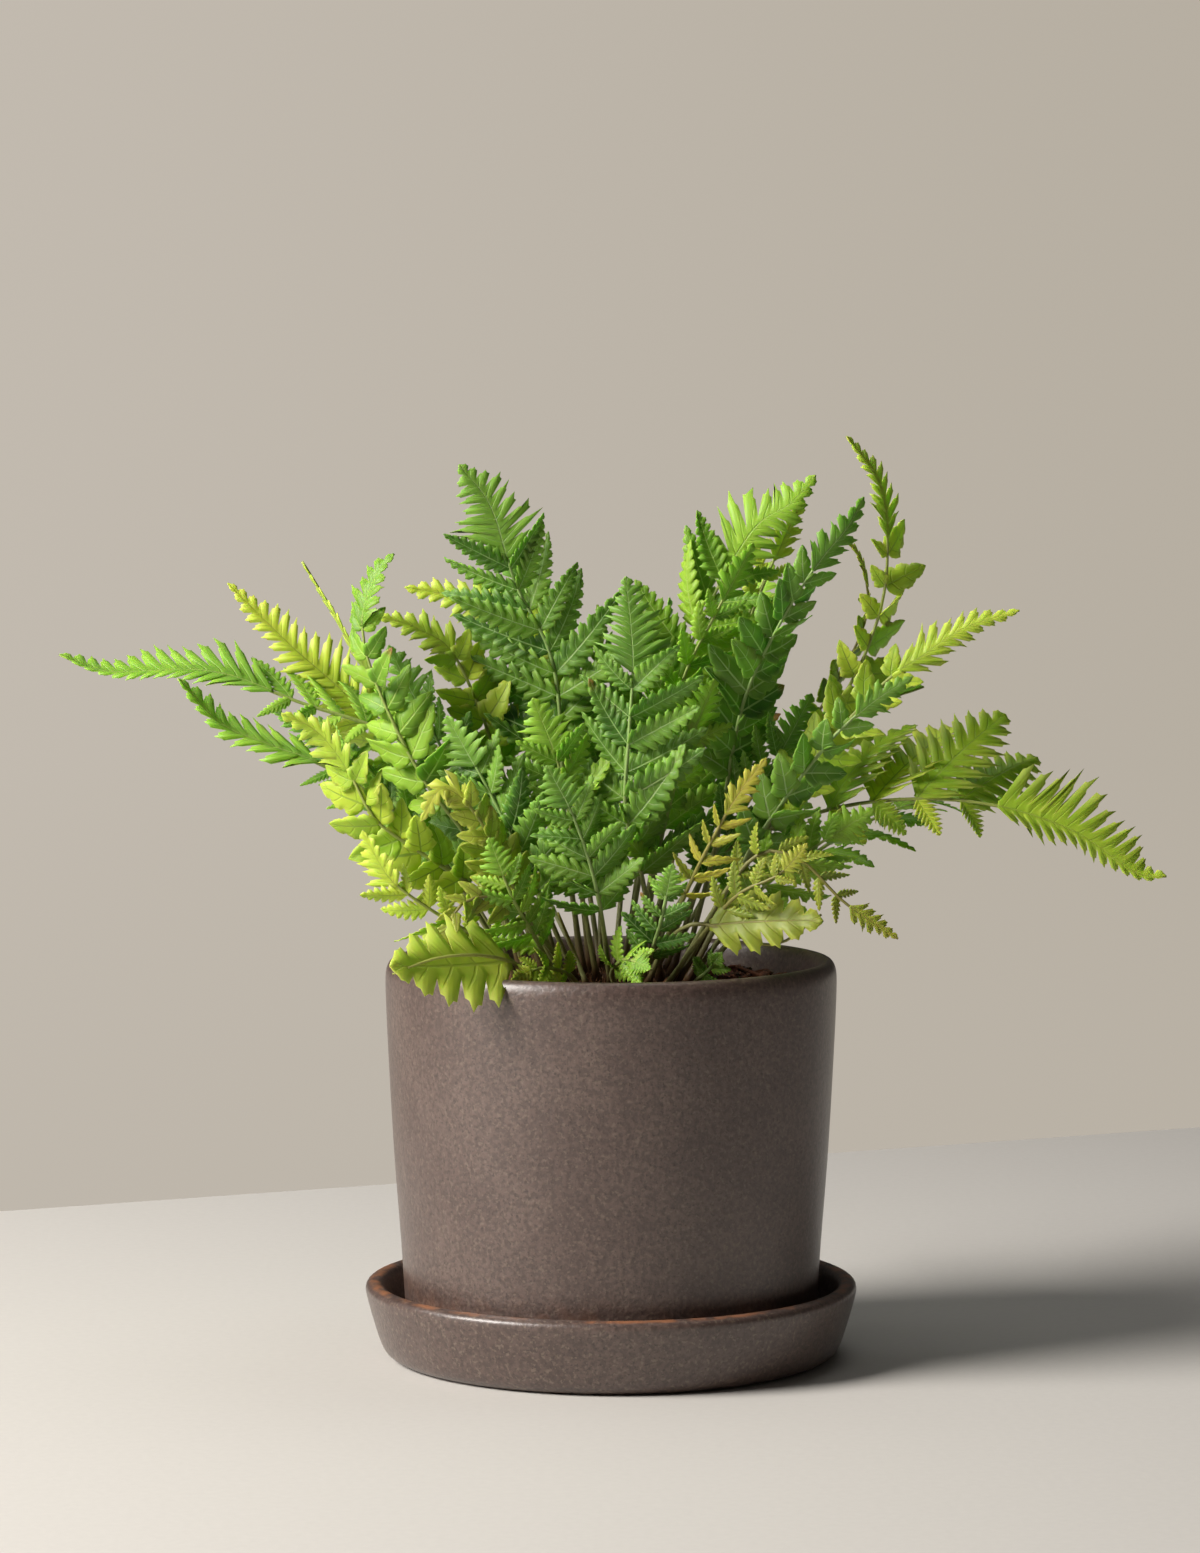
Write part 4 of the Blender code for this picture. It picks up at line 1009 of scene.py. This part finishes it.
class FERN_OT_crown(bpy.types.Operator):
    """Set the scaly crown that the stalks rise from"""

    bl_idname = "fern.crown"
    bl_label = "Crown"

    def execute(self, context):
        rng = random.Random(SCALE_SEED)
        poses = []
        for _ in range(SCALE_COUNT):
            reach = math.sqrt(rng.random())
            angle = rng.uniform(0.0, 2.0 * math.pi)
            x = CROWN_CENTRE[0] + CROWN_RADII[0] * 0.95 * reach * math.cos(angle)
            y = CROWN_CENTRE[1] + CROWN_RADII[1] * 0.95 * reach * math.sin(angle)
            ground = crown_height(x, y) - SCALE_SUNK
            size = np.array((rng.uniform(0.9, 2.0), rng.uniform(0.9, 1.8), rng.uniform(3.0, 5.2)))
            poses.append((0, np.array((x, y, ground)), rotation(rng, 0.75), size))
        piece = scatter("crown_scales", scale_masters(), poses)
        claim(piece, ("crown",), "crown", crown_material())
        return {"FINISHED"}


class FERN_OT_fronds(bpy.types.Operator):
    """Grow every frond, young leaf and dry stalk"""

    bl_idname = "fern.fronds"
    bl_label = "Fronds"

    def execute(self, context):
        settings = context.scene.fern_plant
        patterns = {name: Pattern(name) for name in PATTERNS}
        slots = {"dark": "leaf_dark_green", "mid": "leaf_mid_green", "lime": "leaf_lime",
                 "yellow": "leaf_yellow_green", "olive": "leaf_olive", "orange": "leaf_young_orange"}
        leaves = {group: leaf_material(group, getattr(settings, group + "_shaded"),
                                       getattr(settings, group + "_lit")) for group in LEAF_DETAILS}
        stalks = {group: stalk_material(group) for group in LEAF_DETAILS}
        for number, entry in enumerate(FRONDS):
            rng = random.Random(settings.seed * 1000 + number)
            name, group = entry[0], entry[1]
            stalk, blade = grow_frond(entry, patterns, rng)
            claim(stalk, (name,), slots[group], stalks[group])
            stalk.data.shade_smooth()
            if blade:
                apply_modifier(blade, "SOLIDIFY", thickness=settings.thickness, offset=0.0)
                blade.data.shade_smooth()
                claim(blade, (name,), slots[group], leaves[group])
        return {"FINISHED"}


def lamp(name, place, size, power, tint):
    """A round area light aimed at the pot."""
    bpy.ops.object.light_add(type="AREA", location=place)
    light = bpy.context.object
    light.name = name
    light.data.shape = "DISK"
    light.data.size = size
    light.data.energy = power
    light.data.color = linear(tint)[:3]
    light.rotation_euler = (Vector(LAMP_AIM) - Vector(place)).to_track_quat("-Z", "Y").to_euler()


def cut_sheet(name, height, edge, **side):
    """A level sheet cut along its slanting far edge."""
    bpy.ops.mesh.primitive_plane_add(size=FLOOR_SIZE, location=(0.0, 0.0, height))
    sheet = bpy.context.object
    sheet.name = name
    bpy.ops.object.mode_set(mode="EDIT")
    bpy.ops.mesh.select_all(action="SELECT")
    bpy.ops.mesh.bisect(plane_co=edge, plane_no=EDGE_NORMAL, **side)
    bpy.ops.object.mode_set(mode="OBJECT")
    bpy.ops.object.transform_apply(location=True, rotation=True, scale=True)
    return sheet


def lay_floor(settings):
    """Heavy cream paper: matt, with pulp fibres a few millimetres long that barely show."""
    deselect()
    floor = cut_sheet("floor", 0.0, FLOOR_EDGE, clear_outer=True)
    material, tree, shader = new_material("cream_paper_floor")
    place = add(tree, "ShaderNodeTexCoord", out="Object")
    pulp = add(tree, "ShaderNodeTexNoise", {"Vector": place, "Scale": per_mm(2.5), "Detail": 3.0})
    tone = add(tree, "ShaderNodeMix", {0: pulp, 6: (*[c * 0.96 for c in settings.floor], 1.0),
                                       7: (*[min(1.0, c * 1.04) for c in settings.floor], 1.0)}, **BLEND)
    tree.links.new(tone, shader.inputs["Base Color"])
    shader.inputs["Roughness"].default_value = 0.8
    floor.data.materials.append(material)


def hang_backdrop(settings):
    """Warm grey paper hung all round, glowing with painted light that is brighter on the left than on the
    right, with a sweep below it past the edge of the floor.
    """
    bpy.ops.mesh.primitive_cylinder_add(vertices=96, radius=BACKDROP_RADIUS, depth=BACKDROP_HEIGHT,
                                        location=(0.0, 0.0, BACKDROP_MIDDLE), end_fill_type="NOTHING")
    wall = bpy.context.object
    wall.name = "backdrop"
    bpy.ops.object.transform_apply(location=True, rotation=True, scale=True)
    material, tree, shader = new_material("warm_grey_paper_backdrop")
    place = add(tree, "ShaderNodeTexCoord", out="Object")
    place = add(tree, "ShaderNodeSeparateXYZ", {0: place}, out="X")
    # Painted light: the glow runs from the lit-side colour on the left to the dimmer far-side colour on the
    # right.
    across = add(tree, "ShaderNodeMapRange", {"Value": place, "From Min": -0.8, "From Max": 0.8}, **SMOOTH)
    tone = add(tree, "ShaderNodeMix", {0: across, 6: (*settings.backdrop_left, 1.0),
                                       7: (*settings.backdrop_right, 1.0)}, **BLEND)
    shader.inputs["Base Color"].default_value = (0.0, 0.0, 0.0, 1.0)
    shader.inputs["Specular IOR Level"].default_value = 0.0
    tree.links.new(tone, shader.inputs["Emission Color"])
    shader.inputs["Emission Strength"].default_value = 1.0
    sweep = cut_sheet("backdrop_sweep", SWEEP_DEPTH, SWEEP_EDGE, clear_inner=True)
    wall.visible_diffuse = False
    wall.visible_glossy = False
    for cloth in (wall, sweep):
        cloth.data.materials.append(material)


class FERN_OT_stage(bpy.types.Operator):
    """Lay the floor and set the light and the camera"""

    bl_idname = "fern.stage"
    bl_label = "Stage"

    def execute(self, context):
        settings = context.scene.fern_stage
        lay_floor(settings)
        hang_backdrop(settings)
        world = bpy.data.worlds.new("dim_warm_room")
        context.scene.world = world
        world.use_nodes = True
        sky = world.node_tree.nodes["Background"]
        sky.inputs["Color"].default_value = linear("#cfc9c0")
        sky.inputs["Strength"].default_value = settings.ambient

        lamp("window_left", WINDOW_PLACE, WINDOW_SIZE, settings.key_power, "#fffaf4")
        lamp("sky_top", SKY_PLACE, SKY_SIZE, settings.top_power, "#ffffff")
        bpy.ops.object.camera_add(location=CAMERA_PLACE)
        camera = context.object
        camera.name = "camera"
        aim = Vector(CAMERA_AIM) - camera.location
        camera.rotation_euler = aim.to_track_quat("-Z", "Y").to_euler()
        camera.data.lens = settings.lens
        camera.data.sensor_width = 36.0
        context.scene.camera = camera
        context.scene.view_settings.view_transform = "Standard"
        return {"FINISHED"}


class FERN_PT_panel(bpy.types.Panel):
    """Settings and build steps of the potted fern"""

    bl_idname = "FERN_PT_panel"
    bl_label = "Potted Fern"
    bl_space_type = "VIEW_3D"
    bl_region_type = "UI"
    bl_category = "Fern"

    def draw(self, context):
        layout = self.layout
        for group in (context.scene.fern_pot, context.scene.fern_plant, context.scene.fern_stage):
            for key in group.bl_rna.properties.keys():
                if key not in ("rna_type", "name"):
                    layout.prop(group, key)
        for step in STEPS:
            layout.operator(step.bl_idname)


STEPS = (FERN_OT_stage, FERN_OT_saucer, FERN_OT_pot, FERN_OT_soil, FERN_OT_crown, FERN_OT_fronds)
CLASSES = (PotSettings, FernSettings, StageSettings) + STEPS + (FERN_PT_panel,)


def register():
    """Register the classes and hang the settings on the scene."""
    for cls in CLASSES:
        bpy.utils.register_class(cls)
    bpy.types.Scene.fern_pot = bpy.props.PointerProperty(type=PotSettings)
    bpy.types.Scene.fern_plant = bpy.props.PointerProperty(type=FernSettings)
    bpy.types.Scene.fern_stage = bpy.props.PointerProperty(type=StageSettings)


def unregister():
    """Take the settings and the classes away again."""
    del bpy.types.Scene.fern_stage
    del bpy.types.Scene.fern_plant
    del bpy.types.Scene.fern_pot
    for cls in reversed(CLASSES):
        bpy.utils.unregister_class(cls)


def main():
    """Build everything."""
    register()
    bpy.ops.fern.stage()
    bpy.ops.fern.saucer()
    bpy.ops.fern.pot()
    bpy.ops.fern.soil()
    bpy.ops.fern.crown()
    bpy.ops.fern.fronds()


if __name__ == "__main__":
    main()
